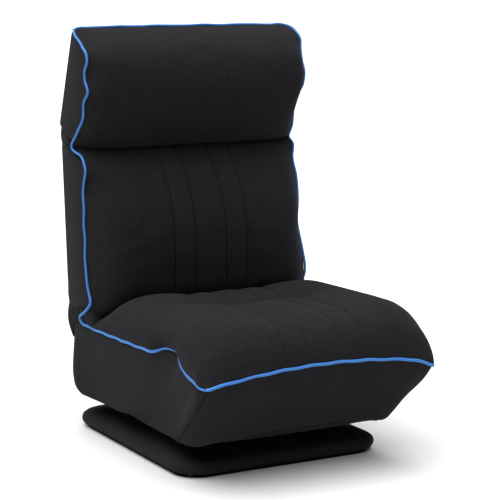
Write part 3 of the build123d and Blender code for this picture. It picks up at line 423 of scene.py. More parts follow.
# Plan outlines at the foot and at the seam, run from the middle of the rear round the right side.
REAR_COUNT, SIDE_COUNT, FRONT_COUNT = 40, 90, 41
lip = lip_line(2 * FRONT_COUNT - 1)[:FRONT_COUNT]
top_half = np.vstack([smooth_line(REAR_SEAM, REAR_COUNT)[:-1], smooth_line(SIDE_SEAM, SIDE_COUNT)[:-1], lip])
front_foot = smooth_line(FRONT_FOOT, FRONT_COUNT)
front_foot[:, 2] = FRONT_FOOT_RISE * (1 - ramp(front_foot[:, 0], 0.0, 0.225) ** 3)
foot_half = np.vstack([
    smooth_line(REAR_FOOT, REAR_COUNT)[:-1], smooth_line(SIDE_FOOT, SIDE_COUNT)[:-1], front_foot])
foot_half += (0.0, 0.0, SEAT_FOOT_Z)
top_ring = np.vstack([top_half, mirrored(top_half)[1:-1]])
foot_ring = np.vstack([foot_half, mirrored(foot_half)[1:-1]])
right_corner = REAR_COUNT + SIDE_COUNT - 2
left_corner = len(top_ring) - right_corner

# Upright profiles of the sides, front and rear, as shares of the way out to the seam and of the way up.
SKIRT_ROWS = 48
side_profile = smooth_line([
    (-0.9, 0.004), (-0.2, 0.0), (0.18, 0.012), (0.45, 0.06), (0.66, 0.17), (0.80, 0.36), (0.92, 0.65),
    (0.99, 0.90), (1.0, 1.0)], SKIRT_ROWS)
front_profile = smooth_line([
    (-0.22, 0.012), (-0.06, 0.002), (0.03, 0.008), (0.12, 0.045), (0.225, 0.125), (0.39, 0.27), (0.59, 0.47),
    (0.81, 0.72), (1.0, 1.0)], SKIRT_ROWS)
rear_profile = smooth_line([
    (-0.9, 0.004), (-0.1, 0.0), (0.42, 0.012), (0.80, 0.06), (1.04, 0.17), (1.13, 0.34), (1.10, 0.60),
    (1.03, 0.86), (1.0, 1.0)], SKIRT_ROWS)
to_front = ease(top_ring[:, 1], 0.02, -0.42)[None, :, None]
to_rear = ease(top_ring[:, 1], 0.10, 0.23)[None, :, None]
profile = side_profile[:, None] * (1 - to_front) + front_profile[:, None] * to_front
profile = profile * (1 - to_rear) + rear_profile[:, None] * to_rear
share, lift = profile[..., :1], profile[..., 1:]
weight = np.dstack([share, share, lift])
outer = foot_ring * (1 - weight) + top_ring * weight + kink(top_ring) * lift ** 5
tucked = ramp(share[..., 0], 0.0, -0.18) * to_front[..., 0]
outer[..., 2] -= (foot_ring[:, 2] - SEAT_FOOT_Z + FOOT_LAP) * tucked
column = np.arange(len(top_ring))
from_right = np.abs(column - right_corner - CORNER_SHIFT)
from_left = np.abs(column - left_corner + CORNER_SHIFT)
near_corner = np.exp(-(np.minimum(from_right, from_left) / CORNER_COLUMNS) ** 2)
puff = CORNER_PUFF * near_corner * np.sin(np.pi * np.clip(lift[..., 0], 0, 1))
corner_out = np.tile(CORNER_OUT, (len(top_ring), 1))
corner_out[:, 0] *= np.sign(top_ring[:, 0])
outer += puff[..., None] * corner_out
notch = NOTCH + NOTCH_AT_FOOT * np.exp(-(lift[:, right_corner] / NOTCH_FADE) ** 2)
for column in (left_corner, right_corner):
    inwards = -outer[:, column] * (1, 1, 0) / np.linalg.norm(outer[:, column, :2], axis=1, keepdims=True)
    outer = sew(outer, [column], notch * inwards)[0]
inner = outer[::-1] * SKIRT_INNER
inner[..., 2] = np.maximum(inner[..., 2], SEAT_FOOT_Z + SKIRT_FLOOR) - SKIRT_TUCK * (inner[..., 2] > 0.2)
seat_skirt = skin("seat_skirt_fabric", np.vstack([outer, inner]), around=True, along=True)
dress(knit_cloth, seat_skirt)
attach(seat_skirt, "seat")
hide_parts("seat_skirt")

# Dust cover: black non-woven lining under the seat, cut to the foot's outline and stapled round its edge.
# It hides the seat board and the tube, and is cut out round the swivel plate. Its bonded fibres give an even,
# dull black, and are drawn coarser than they are.
LINING_FIBRE = 0.004
DUST_MARGIN = 0.010
DUST_ROWS = 6
DUST_GAP = 0.003
DUST_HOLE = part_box("swivel_upper_plate")[1].x + DUST_GAP
lining_cloth = cloth_material("black_nonwoven_lining", "#101011", "#1a1a1b", LINING_FIBRE,
                              bloom=0.02, rough=0.9)
dust_low, dust_high = (corner.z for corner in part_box("seat_dust_cover"))
dust_edge = foot_ring[:, :2] * (1 - DUST_MARGIN / np.linalg.norm(foot_ring[:, :2], axis=1, keepdims=True))
dust_hole = dust_edge * DUST_HOLE / np.max(np.abs(dust_edge), axis=1, keepdims=True)
out = np.concatenate([np.linspace(0, 1, DUST_ROWS), np.linspace(1, 0, DUST_ROWS)])[:, None, None]
dust_z = np.repeat([dust_low, dust_high], DUST_ROWS)[:, None, None]
dust_z = dust_z + (foot_ring[None, :, 2:] - SEAT_FOOT_Z) * out ** 8
dust = skin("seat_dust_cover_lining", np.dstack([dust_hole * (1 - out) + dust_edge * out, dust_z]),
            around=True, along=True)
dress(lining_cloth, dust)
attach(dust, "seat")
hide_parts("seat_dust_cover")

# Seat cushion: a foam pad in black knitted polyester, five panels wide with four sewn seams front to back.
# A cross seam tufts it half way along, and its nose rolls down to the piped lip.
SEAM_INNER_X = 0.039
SEAM_OUTER_X = 0.092
SIDE_COLUMNS = 30
STRIP_COLUMNS = (9, 13)
SEAT_ROWS = 132
SEAT_HALF = 0.2725
SEAT_REAR_CORNER = (0.2715, 0.150, 0.2590)
SEAT_INNER_X = 0.90
SEAT_INNER_FRONT = -0.405
SEAT_INNER_Z = 0.222
SEAT_TOP = [
    (0.1500, 0.2600), (0.1200, 0.2680), (0.0900, 0.2900), (0.0560, 0.3100), (0.0200, 0.3320),
    (-0.0200, 0.3430), (-0.0800, 0.3460), (-0.1400, 0.3470), (-0.2200, 0.3490), (-0.3000, 0.3500),
    (-0.3600, 0.3470), (-0.4000, 0.3330), (-0.4270, 0.3060), (-0.4390, 0.2770), (-0.4405, 0.2570)]
SEAT_SHOULDER = [
    (1.000, 0.00), (1.011, 0.22), (1.004, 0.46), (0.978, 0.68), (0.926, 0.87), (0.845, 0.99), (0.740, 1.06),
    (0.600, 1.08), (0.450, 1.05), (SEAM_OUTER_X / SEAT_HALF, 0.985)]
TUFT_Y = -0.142
TUFT_DEPTH = 0.038
TUFT_BEHIND = 0.042
TUFT_BEFORE = 0.020
TUFT_HELD = (0.12, 0.0035)
STRIP_PUFF = 0.0034
STITCH_DEPTH = 0.0068
PAD_PRESSURE = 1.5
PAD_REACH = 0.004


def panel_columns(shoulder, half_width):
    """Columns of a five-panel pad: share of half width, share of the crown, and the puff between seams.
    The two wide panels follow the shoulder line, the three strips swell as half a sine between seams."""
    side = smooth_line(shoulder, SIDE_COLUMNS)
    outer_share = SEAM_OUTER_X / half_width
    inner_share = SEAM_INNER_X / half_width
    seam_level = shoulder[-1][1]
    narrow, wide = STRIP_COLUMNS
    narrow_t = np.linspace(0, 1, narrow)[1:]
    wide_t = np.linspace(0, 1, wide)[1:]
    x = np.concatenate([
        side[:, 0],
        outer_share + (inner_share - outer_share) * narrow_t,
        inner_share * (1 - 2 * wide_t),
        -inner_share - (outer_share - inner_share) * narrow_t,
        -side[::-1, 0][1:]])
    middle = np.full(2 * (narrow - 1) + wide - 1, seam_level)
    level = np.concatenate([side[:, 1], middle, side[::-1, 1][1:]])
    swell = np.concatenate([
        0 * side[:, 0], np.sin(np.pi * narrow_t), np.sin(np.pi * wide_t), np.sin(np.pi * narrow_t),
        0 * side[1:, 0]])
    seams = np.cumsum([SIDE_COLUMNS - 1, narrow - 1, wide - 1, narrow - 1])
    return x, level, swell, seams


def settle(obj, growth):
    """Cloth pass: the sewn lines are held, the cloth between them grows by a share and is blown out.
    No point moves further than PAD_REACH, and the result replaces the mesh."""
    count = len(obj.data.vertices)
    held = np.zeros(count, np.float32)
    obj.data.attributes["pin"].data.foreach_get("value", held)
    start = np.zeros(3 * count, np.float32)
    obj.data.vertices.foreach_get("co", start)
    sewn = obj.vertex_groups.new(name="sewn")
    sewn.add(np.flatnonzero(held > 0.5).tolist(), 1.0, "REPLACE")
    cloth = obj.modifiers.new("settle", "CLOTH")
    cloth.settings.quality = 5
    cloth.settings.mass = 0.25
    cloth.settings.tension_stiffness = 12.0
    cloth.settings.compression_stiffness = 12.0
    cloth.settings.shear_stiffness = 4.0
    cloth.settings.bending_stiffness = 6.0
    cloth.settings.vertex_group_mass = "sewn"
    cloth.settings.use_pressure = True
    cloth.settings.uniform_pressure_force = PAD_PRESSURE
    cloth.settings.shrink_min = -growth
    cloth.settings.effector_weights.gravity = 0.0
    cloth.collision_settings.use_collision = False
    for step in range(1, 21):
        bpy.context.scene.frame_set(step)
    settled = np.zeros(3 * count, np.float32)
    shaped = obj.evaluated_get(bpy.context.evaluated_depsgraph_get())
    shaped.data.vertices.foreach_get("co", settled)
    move = (settled - start).reshape(-1, 3)
    far = np.linalg.norm(move, axis=1, keepdims=True)
    move *= np.minimum(1.0, PAD_REACH / np.maximum(far, 1e-9))
    obj.modifiers.remove(cloth)
    obj.vertex_groups.remove(sewn)
    obj.data.vertices.foreach_set("co", (start + move.ravel()).astype(np.float32))
    obj.data.update()
    bpy.context.scene.frame_set(1)


def sewn_points(outer, seam_columns=()):
    """Which points of a pad's outer face are held: its rim, and each seam with the column to either side."""
    held = np.zeros(outer.shape[:2], bool)
    held[[0, -1]] = True
    held[:, [0, -1]] = True
    held[:, (np.asarray(seam_columns, int)[:, None] + (-1, 0, 1)).ravel()] = True
    return held


def pad(name, outer, inner, held):
    """A closed pad, one ring per row: over the outer face and back along the inner one, which share their
    edges. The inner face is held all over."""
    inner = inner.copy()
    inner[[0, -1]] = outer[[0, -1]]
    pins = np.hstack([held, np.ones_like(held[:, 1:-1])])
    return skin(name, np.hstack([outer, inner[:, -2:0:-1]]), around=True, pins=pins)


column_x, column_level, column_swell, seam_columns = panel_columns(SEAT_SHOULDER, SEAT_HALF)
top_line = smooth_line(SEAT_TOP, SEAT_ROWS)
edge_line = smooth_line([SEAT_REAR_CORNER] + SIDE_SEAM[2:], SEAT_ROWS)
row_share = np.linspace(0, 1, SEAT_ROWS)[:, None]
at_lip = ramp(row_share, 0.93, 1.0) ** 2
level = column_level[None, :] * (1 - at_lip) + (1 - column_x[None, :] ** 2) * at_lip
inward = 1 - np.abs(column_x[None, :]) ** 5
x = column_x[None, :] * edge_line[:, :1]
y = edge_line[:, 1:2] + (top_line[:, :1] - edge_line[:, 1:2]) * inward
z = edge_line[:, 2:] + (top_line[:, 1:] - edge_line[:, 2:]) * level
fullness = ramp(row_share, 0.0, 0.12) * ramp(row_share, 1.0, 0.90)
z = z + STRIP_PUFF * column_swell[None, :] * np.sqrt(fullness)
tuft = np.exp(-np.abs(y - TUFT_Y) / np.where(y > TUFT_Y, TUFT_BEHIND, TUFT_BEFORE))
z = z - TUFT_DEPTH * tuft * ease(np.abs(x), 0.205, 0.095)
seat_outer = np.dstack([x, y, z])
seat_outer += kink(seat_outer) * np.maximum(np.clip(1 - level, 0, 1) ** 3, at_lip ** 2)[..., None]
seat_outer, seam_columns = sew(seat_outer, seam_columns, STITCH_DEPTH * fullness * (0, 0, -1))
tuft_row = np.argmin(np.abs(top_line[:, 0] - TUFT_Y))
tuft_sink = ramp(np.abs(seat_outer[tuft_row, :, :1]), 0.150, 0.120) * STITCH_DEPTH * (0, 0, -1)
seat_outer = sew(seat_outer.swapaxes(0, 1), [tuft_row], tuft_sink)[0].swapaxes(0, 1)
inner_y = np.linspace(SEAT_TOP[0][0], SEAT_INNER_FRONT, len(seat_outer))[:, None]
inner_x = SEAT_INNER_X * seat_outer[:1, :, 0]
seat_inner = np.stack(np.broadcast_arrays(inner_x, inner_y, SEAT_INNER_Z), axis=-1)
held = sewn_points(seat_outer, seam_columns)
held |= np.all(np.abs(seat_outer[..., :2] - (0.0, TUFT_Y)) < TUFT_HELD, axis=-1)
seat_cushion = pad("seat_cushion_fabric", seat_outer, seat_inner, held)
settle(seat_cushion, growth=0.0)
dress(knit_cloth, seat_cushion)
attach(seat_cushion, "seat")
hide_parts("seat_cushion")

# Recline hinges: pressed steel leaves, ratchet wheels, pawls, pins and bolts, all zinc plated.
# They stand inside the two sides, between the seat tube and the back tube.
for side in ("left", "right"):
    dress(zinc, f"seat_hinge_leaf_{side}", f"recline_ratchet_{side}", f"recline_pin_{side}",
          f"back_hinge_leaf_{side}", f"recline_pawl_{side}")
dress(zinc, "seat_hinge_bolts", "back_hinge_bolts")

# Back frame: an upturned U of powder-coated tube with two cross bars.
# Black elastic straps, ribbed and slightly shiny, are stretched across its front and carry the cushion.
STRAP_RIB = 0.003
webbing = cloth_material("black_elastic_webbing", "#141416", "#232326", STRAP_RIB, bloom=0.05, rough=0.8)
dress(coated_tube, "back_frame", "back_cross_bar_lower", "back_cross_bar_upper")
dress(webbing, "back_webbing")

# Back cover: one length of knitted polyester over thin foam, round both sides and the rear of the back.
# It is sewn to the front cushion in the piped seam, and closed under the foot.
joints = {joint["name"]: joint for joint in frame["joints"]}
AXIS_Y, AXIS_Z = joints["back_recline"]["pos_m"][1:]
BACK_LEAN = np.radians(4.0)
BACK_HALF = 0.2765
BACK_REAR_N = 0.041
COVER_LIP = 0.0005
COVER_BULGE = 0.004
COVER_POINT = (0.0, 0.5, 0.85)
TOP_SLANT = 0.30
SIDE_PUCKER = 0.0022
REAR_SLACK = 0.0016
BACK_EDGE_RIGHT = [
    (-0.040, 0.004), (-0.078, 0.012), (-0.108, 0.032), (-0.114, 0.057), (-0.110, 0.110), (-0.086, 0.180),
    (-0.095, 0.229), (-0.088, 0.289), (-0.076, 0.335), (-0.080, 0.362), (-0.060, 0.381), (-0.030, 0.390)]
BACK_EDGE_LEFT = [
    (-0.040, 0.004), (-0.078, 0.012), (-0.108, 0.032), (-0.102, 0.065), (-0.094, 0.118), (-0.096, 0.180),
    (-0.097, 0.231), (-0.102, 0.300), (-0.117, 0.335), (-0.106, 0.352), (-0.070, 0.374), (-0.030, 0.390)]


def on_back(x, n, s):
    """Points given across the back, out of its plane to the rear, and up along it from the recline axis."""
    y = AXIS_Y + n * np.cos(BACK_LEAN) + s * np.sin(BACK_LEAN)
    z = AXIS_Z - n * np.sin(BACK_LEAN) + s * np.cos(BACK_LEAN)
    return np.stack(np.broadcast_arrays(x, y, z), axis=-1)


def edge_at(edge, s):
    """How far forward a seam line lies at each height."""
    line = smooth_line(edge, 400)
    return np.interp(s, line[:, 1], line[:, 0])


def cover_rings(low, high, rows, edges, half_width, rear_n, corner, roll_r, depth, closing):
    """Plan rings of a side and rear cover, one per height: out along the right side from the seam, round an
    arc at the rear corner, across the slightly crowned rear, and the same back, closed just inside the front.
    Towards both ends the rings draw in along a quarter circle, and the last three run in to a point."""
    s = np.concatenate([[low] * 3, np.linspace(low + COVER_LIP, high - COVER_LIP, rows), [high] * 3])[:, None]
    right_n, left_n = (edge_at(edge, s) for edge in edges)
    side_t = np.linspace(0, 1, 22)[None, :]
    turn = np.linspace(0, np.pi / 2, 10)[None, 1:-1]
    rear_t = np.linspace(1, -1, 41)[None, :]
    close_t = np.linspace(0, 1, 25)[None, :]
    one = np.ones_like(s)
    right_side = right_n + (rear_n - corner - right_n) * side_t
    left_side = left_n + (rear_n - corner - left_n) * side_t[:, ::-1]
    side_x = one * (half_width + COVER_BULGE * np.sin(np.pi * side_t))
    arc_n = one * (rear_n - corner + corner * np.sin(turn))
    arc_x = one * (half_width - corner + corner * np.cos(turn))
    rear_x = one * (half_width - corner) * rear_t
    rear_line = one * rear_n + 0.6 * COVER_BULGE * (1 - rear_t ** 4)
    close_x = one * half_width * (1.97 * close_t - 0.985)
    close_n = left_n + (right_n - left_n) * close_t + closing
    n = np.hstack([right_side, arc_n, rear_line, arc_n[:, ::-1], left_side, close_n])
    x = np.hstack([side_x, arc_x, rear_x, -arc_x[:, ::-1], -side_x, close_x])
    short = 1 - ramp(np.minimum(s - low, high - s) + COVER_LIP, 0.0, roll_r)
    roll = roll_r * (1 - np.sqrt(1 - short ** 2))
    shrink = np.concatenate([COVER_POINT, np.ones(rows), COVER_POINT[::-1]])[:, None]
    middle_n = (right_n + left_n + 2 * rear_n) / 4
    x = x * (1 - roll / half_width) * shrink
    n = middle_n + (n - middle_n) * (1 - roll / depth) * shrink
    return x, n, s


ring_x, ring_n, cover_s = cover_rings(
    low=0.0085, high=0.3985, rows=70, edges=(BACK_EDGE_RIGHT, BACK_EDGE_LEFT), half_width=BACK_HALF,
    rear_n=BACK_REAR_N, corner=0.030, roll_r=0.020, depth=0.064, closing=0.004)
ring_s = cover_s + TOP_SLANT * ramp(cover_s, 0.30, 0.40) ** 2 * (ring_n - 0.01)
side_zone = ramp(np.abs(ring_x), 0.0, BACK_HALF) ** 12
pucker = np.sin(150 * (ring_s + 0.25 * ring_n)) * np.exp(-ring_s / 0.035) * side_zone
ring_x = ring_x + np.sign(ring_x) * SIDE_PUCKER * pucker
slack = REAR_SLACK * np.sin(13 * ring_x + 2) * np.sin(17 * ring_s + 9 * ring_x) * (1 - side_zone)
back_cover = skin("back_cover_fabric", on_back(ring_x, ring_n + slack * (ring_n > 0.02), ring_s), around=True)
dress(knit_cloth, back_cover)
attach(back_cover, "backrest")
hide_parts("back_rear_panel")

# Back cushion: the front of the back, a thick foam pad in the same knit, with the seat's four seams going on
# up it. It is fullest at the lumbar, rounds under at the foot and draws in under the headrest.
BACK_ROWS = 120
BACK_FRONT = [
    (-0.045, 0.004), (-0.085, 0.003), (-0.132, 0.011), (-0.160, 0.038), (-0.171, 0.095), (-0.175, 0.150),
    (-0.174, 0.200), (-0.162, 0.255), (-0.141, 0.300), (-0.107, 0.344), (-0.076, 0.375), (-0.035, 0.392)]
BACK_SHOULDER = [
    (1.000, 0.00), (0.981, 0.13), (0.953, 0.31), (0.918, 0.51), (0.872, 0.71), (0.806, 0.88), (0.715, 0.99),
    (0.580, 1.04), (0.450, 1.03), (SEAM_OUTER_X / BACK_HALF, 0.985)]
BACK_FOLDS = [
    ((0.095, 0.222), (0.262, 0.158)), ((0.090, 0.168), (0.235, 0.112)), ((0.120, 0.300), (0.268, 0.345))]
FOLD_WIDTH = 0.013
FOLD_DEPTH = 0.0019
FOOT_SAG = 0.015
BACK_INNER_N = -0.075
BACK_INNER_GAP = 0.006
BACK_INNER_X = 0.97


def fold(across, up, start, end):
    """A soft valley along a straight line: a bell curve of the distance to it, faded out at both ends."""
    run = np.subtract(end, start)
    length = np.hypot(*run)
    along = ((across - start[0]) * run[0] + (up - start[1]) * run[1]) / length ** 2
    off = ((across - start[0]) * run[1] - (up - start[1]) * run[0]) / length
    return np.exp(-(off / FOLD_WIDTH) ** 2) * np.clip(4 * along * (1 - along), 0, None)


column_x, column_level, column_swell, seam_columns = panel_columns(BACK_SHOULDER, BACK_HALF)
front_line = smooth_line(BACK_FRONT, BACK_ROWS)
to_left = (1 - column_x[None, :, None]) / 2
edge_line = smooth_line(BACK_EDGE_RIGHT, BACK_ROWS)[:, None] * (1 - to_left)
edge_line = edge_line + smooth_line(BACK_EDGE_LEFT, BACK_ROWS)[:, None] * to_left
row_share = np.linspace(0, 1, BACK_ROWS)[:, None]
inward = 1 - np.abs(column_x[None, :]) ** 6
x = column_x[None, :] * BACK_HALF * np.ones_like(row_share)
s = edge_line[..., 1] + (front_line[:, 1:] - edge_line[..., 1]) * inward
n = edge_line[..., 0] + (front_line[:, :1] - edge_line[..., 0]) * column_level[None, :]
sag_across = np.sin(np.pi * ramp(np.abs(column_x[None, :]), 0.62, 1.0) ** 1.8)
s = s - FOOT_SAG * sag_across * np.sin(np.pi * ramp(row_share, 0.0, 0.32))
fullness = ramp(row_share, 0.0, 0.12) * ramp(row_share, 1.0, 0.88)
n = n - STRIP_PUFF * column_swell[None, :] * np.sqrt(fullness)
n = n + FOLD_DEPTH * sum(fold(np.abs(x), s, *line) for line in BACK_FOLDS)
back_outer, seam_columns = sew(on_back(x, n, s), seam_columns, STITCH_DEPTH * fullness * (0, 1, 0))
back_inner = back_outer * (BACK_INNER_X, 1, 1)
inner_y = on_back(0.0, BACK_INNER_N, front_line[:, 1:])[..., 1]
back_inner[..., 1] = np.maximum(back_outer[..., 1] + BACK_INNER_GAP, inner_y)
held = sewn_points(back_outer, seam_columns)
back_cushion = pad("back_cushion_fabric", back_outer, back_inner, held)
settle(back_cushion, growth=0.0015)
dress(knit_cloth, back_cushion)
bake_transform(back_cushion)
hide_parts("back_cushion")

# Recline gusset: a band of stretch knit on thin foam that closes the gap between seat and back all round.
# Its lower edge is sewn inside the seat cover, its upper edge inside the back, and it puckers at the sides.
# It has the knit's black on finer loops.
FINE_KNIT = 0.0011
GUSSET_ROWS = 17
GUSSET_COLUMNS = 260
GUSSET_WALL = 0.0025
GUSSET_CORNER_R = 0.016
RECLINE_HALF = (0.2705, 0.0700)
RECLINE_Y = 0.1770
RECLINE_LOW_Z = 0.256
RECLINE_REAR_DROP = 0.041
RECLINE_HIGH_S = 0.030
RECLINE_PUCKER = 0.0018
RECLINE_BOW = 0.004
RECLINE_SIDE_BOW = 0.002


def gusset(name, low, high, bow):
    """A closed band from one ring of points up to another, as straight rows that bow outwards by half a sine.
    The inner face lies one wall inside, and both faces join at the edges."""
    t = np.linspace(0, 1, GUSSET_ROWS)[:, None, None]
    band = low[None] * (1 - t) + high[None] * t
    out = (band - band.mean(axis=1, keepdims=True)) * (1, 1, 0)
    out /= np.linalg.norm(out, axis=-1, keepdims=True)
    band = band + out * bow * np.sin(np.pi * t)
    return skin(name, np.vstack([band, (band - GUSSET_WALL * out)[::-1]]), around=True, along=True)


stretch_knit = cloth_material("black_stretch_knit", "#141415", "#2c2c2f", FINE_KNIT, bloom=0.05, rough=0.9)
ring = rounded_outline(*RECLINE_HALF, GUSSET_CORNER_R, GUSSET_COLUMNS)
low_y = ring[:, 1] + RECLINE_Y
low_z = RECLINE_LOW_Z - RECLINE_REAR_DROP * ramp(low_y, 0.200, 0.240) ** 2
low = np.stack([ring[:, 0], low_y, low_z], axis=-1)
high = on_back(ring[:, 0] * 1.004, ring[:, 1] * 0.98 - 0.0345, RECLINE_HIGH_S)
at_side = ramp(np.abs(ring[:, 0]), 0.22, 0.26)
pucker = RECLINE_PUCKER * at_side * np.sin(240 * low_y + 1)
bow = RECLINE_BOW + RECLINE_SIDE_BOW * at_side + pucker
recline_gusset = gusset("recline_gusset_fabric", low, high, bow[None, :, None])
dress(stretch_knit, recline_gusset)
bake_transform(recline_gusset)

# Neck hinges and headrest frame: smaller ratchet hinges of zinc-plated steel, bolted to the top of the back
# tube, carry an upturned U of powder-coated tube that stands inside the headrest.
for side in ("left", "right"):
    dress(zinc, f"neck_hinge_leaf_{side}", f"neck_ratchet_{side}", f"neck_pin_{side}",
          f"head_hinge_leaf_{side}", f"neck_pawl_{side}")
dress(zinc, "neck_hinge_bolts", "head_hinge_bolts")
dress(coated_tube, "headrest_frame")

# Headrest cover: knitted polyester over thin foam on both ends and the rear of the headrest.
# It meets the bolster in the piped seam, which runs up the ends and across the top.
NECK_Y, NECK_Z = joints["headrest_tilt"]["pos_m"][1:]
HEAD_LEAN = np.radians(-20.0)
HEAD_HALF = 0.2785
HEAD_REAR_N = 0.046
HEAD_SLACK = 0.0014
HEAD_EDGE_RIGHT = [
    (-0.036, -0.016), (-0.062, -0.004), (-0.069, 0.030), (-0.062, 0.075), (-0.066, 0.104), (-0.082, 0.143),
    (-0.079, 0.167), (-0.056, 0.190), (-0.042, 0.212), (-0.032, 0.236), (-0.010, 0.2430), (0.028, 0.2445)]
HEAD_EDGE_LEFT = [
    (-0.036, -0.016), (-0.056, -0.003), (-0.074, 0.038), (-0.093, 0.084), (-0.090, 0.120), (-0.098, 0.146),
    (-0.078, 0.167), (-0.071, 0.186), (-0.076, 0.206), (-0.068, 0.222), (-0.036, 0.232), (0.004, 0.2410),
    (0.028, 0.2445)]


def on_head(x, n, s):
    """Points given across the headrest, out of its plane to the rear, and up along it from the neck axis."""
    y = NECK_Y + n * np.cos(HEAD_LEAN) + s * np.sin(HEAD_LEAN)
    z = NECK_Z - n * np.sin(HEAD_LEAN) + s * np.cos(HEAD_LEAN)
    return np.stack(np.broadcast_arrays(x, y, z), axis=-1)


ring_x, ring_n, cover_s = cover_rings(
    low=0.0015, high=0.2445, rows=50, edges=(HEAD_EDGE_RIGHT, HEAD_EDGE_LEFT), half_width=HEAD_HALF,
    rear_n=HEAD_REAR_N, corner=0.024, roll_r=0.016, depth=0.057, closing=0.003)
slack = HEAD_SLACK * np.sin(15 * ring_x + 1) * np.sin(21 * cover_s + 7 * ring_x)
ring_n = ring_n + slack * (ring_n > 0.02)
head_cover = skin("headrest_cover_fabric", on_head(ring_x, ring_n, cover_s), around=True)
dress(knit_cloth, head_cover)
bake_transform(head_cover)
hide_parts("headrest_rear_panel")

# Headrest bolster: one wide foam roll in knitted polyester, full in front and rounded over the top.
# Its ends are drawn in to the piping, and its chin hangs over the top of the back.
HEAD_ROWS = 110
HEAD_COLUMNS = 52
HEAD_INNER_N = -0.050
HEAD_INNER_X = 0.97
HEAD_INNER_S = 0.96
HEAD_FRONT = [
    (-0.040, -0.010), (-0.066, -0.009), (-0.091, 0.008), (-0.109, 0.045), (-0.121, 0.090), (-0.126, 0.140),
    (-0.119, 0.184), (-0.100, 0.218), (-0.066, 0.238), (-0.028, 0.2460), (0.008, 0.2480), (0.028, 0.2465)]
HEAD_SHOULDER = [
    (1.000, 0.00), (0.990, 0.14), (0.973, 0.32), (0.950, 0.52), (0.918, 0.71), (0.870, 0.87), (0.790, 0.965),
    (0.620, 1.005), (0.300, 1.02), (0.000, 1.02)]
half_roll = smooth_line(HEAD_SHOULDER, HEAD_COLUMNS)
column_x = np.concatenate([half_roll[:, 0], -half_roll[::-1, 0][1:]])[None, :]
column_level = np.concatenate([half_roll[:, 1], half_roll[::-1, 1][1:]])[None, :, None]
front_line = smooth_line(HEAD_FRONT, HEAD_ROWS)[:, None]
to_left = (1 - column_x[..., None]) / 2
edge_line = smooth_line(HEAD_EDGE_RIGHT, HEAD_ROWS)[:, None] * (1 - to_left)
edge_line = edge_line + smooth_line(HEAD_EDGE_LEFT, HEAD_ROWS)[:, None] * to_left
bolster_line = edge_line + (front_line - edge_line) * column_level
head_outer = on_head(column_x * HEAD_HALF, bolster_line[..., 0], bolster_line[..., 1])
inner_n = np.maximum(bolster_line[..., 0], HEAD_INNER_N)
head_inner = on_head(column_x * HEAD_HALF * HEAD_INNER_X, inner_n, edge_line[..., 1] * HEAD_INNER_S)
head_bolster = pad("headrest_bolster_fabric", head_outer, head_inner, sewn_points(head_outer))
settle(head_bolster, growth=0.0)
dress(knit_cloth, head_bolster)
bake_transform(head_bolster)
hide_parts("headrest_cushion")

# Neck gusset: a second band of stretch knit on thin foam, between the top of the back and the foot of the
# headrest. It is sewn inside both covers and stands out a little at the ends, as a fold behind the piping.
NECK_HALF = (0.2715, 0.0360)
NECK_LOW_S = 0.384
NECK_HIGH_S = 0.014
NECK_BOW = 0.003
NECK_FOLD = 0.004
ring = rounded_outline(*NECK_HALF, GUSSET_CORNER_R, GUSSET_COLUMNS)
low = on_back(ring[:, 0], ring[:, 1] + 0.002, NECK_LOW_S + 0.10 * ring[:, 1])
high = on_head(ring[:, 0], ring[:, 1] * 1.06 + 0.003, NECK_HIGH_S)
end_fold = 0.001 + NECK_FOLD * np.exp(-((ring[:, 1] + 0.012) / 0.018) ** 2)
bow = NECK_BOW + ramp(np.abs(ring[:, 0]), 0.24, 0.265) * end_fold
neck_gusset = gusset("neck_gusset_fabric", low, high, bow[None, :, None])
dress(stretch_knit, neck_gusset)
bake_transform(neck_gusset)

# Piping: a cotton cord in a bias-cut strip of blue polyester twill, sewn into the seams. One length runs
# round the seat and hooks up behind the crease, another goes up the back and over the headrest.
# Real twill ribs are 0.5 mm apart; they are drawn 2.2 mm apart so that they show.
SEAT_PIPE_R = 0.0034
BACK_PIPE_R = 0.0028
PIPE_PROUD = 0.0022
PIPE_SIDES = 14
PIPE_POINTS = 900
PIPE_WAVE = 0.0007
PIPE_WAVELENGTH = 0.11
TWILL = 0.0022
TWILL_DRIFT = 1 / 22
HOOK_X = (0.2765, 0.2765, 0.2775, 0.2785, 0.2775, 0.2755)
HOOK_N = (-0.1080, -0.1090, -0.0960, -0.0720, -0.0500, -0.0430)
HOOK_S = (0.0460, 0.0340, 0.0220, 0.0085, -0.0010, -0.0075)
HOOK_FOOT = [(0.2745, 0.1690, 0.2620), (0.2735, 0.1430, 0.2580)]
BACK_START = (-0.108, 0.044)
TOP_N = 0.031
TOP_S = 0.2445
TOP_CROWN = 0.003
TOP_CORNER = [(0.2755, 0.0200, 0.2450), (0.2600, 0.0300, 0.2460)]
SEAT_MIDDLE = (0.0, -0.05, 0.20)
BACK_MIDDLE = (0.0, 0.30, 0.62)


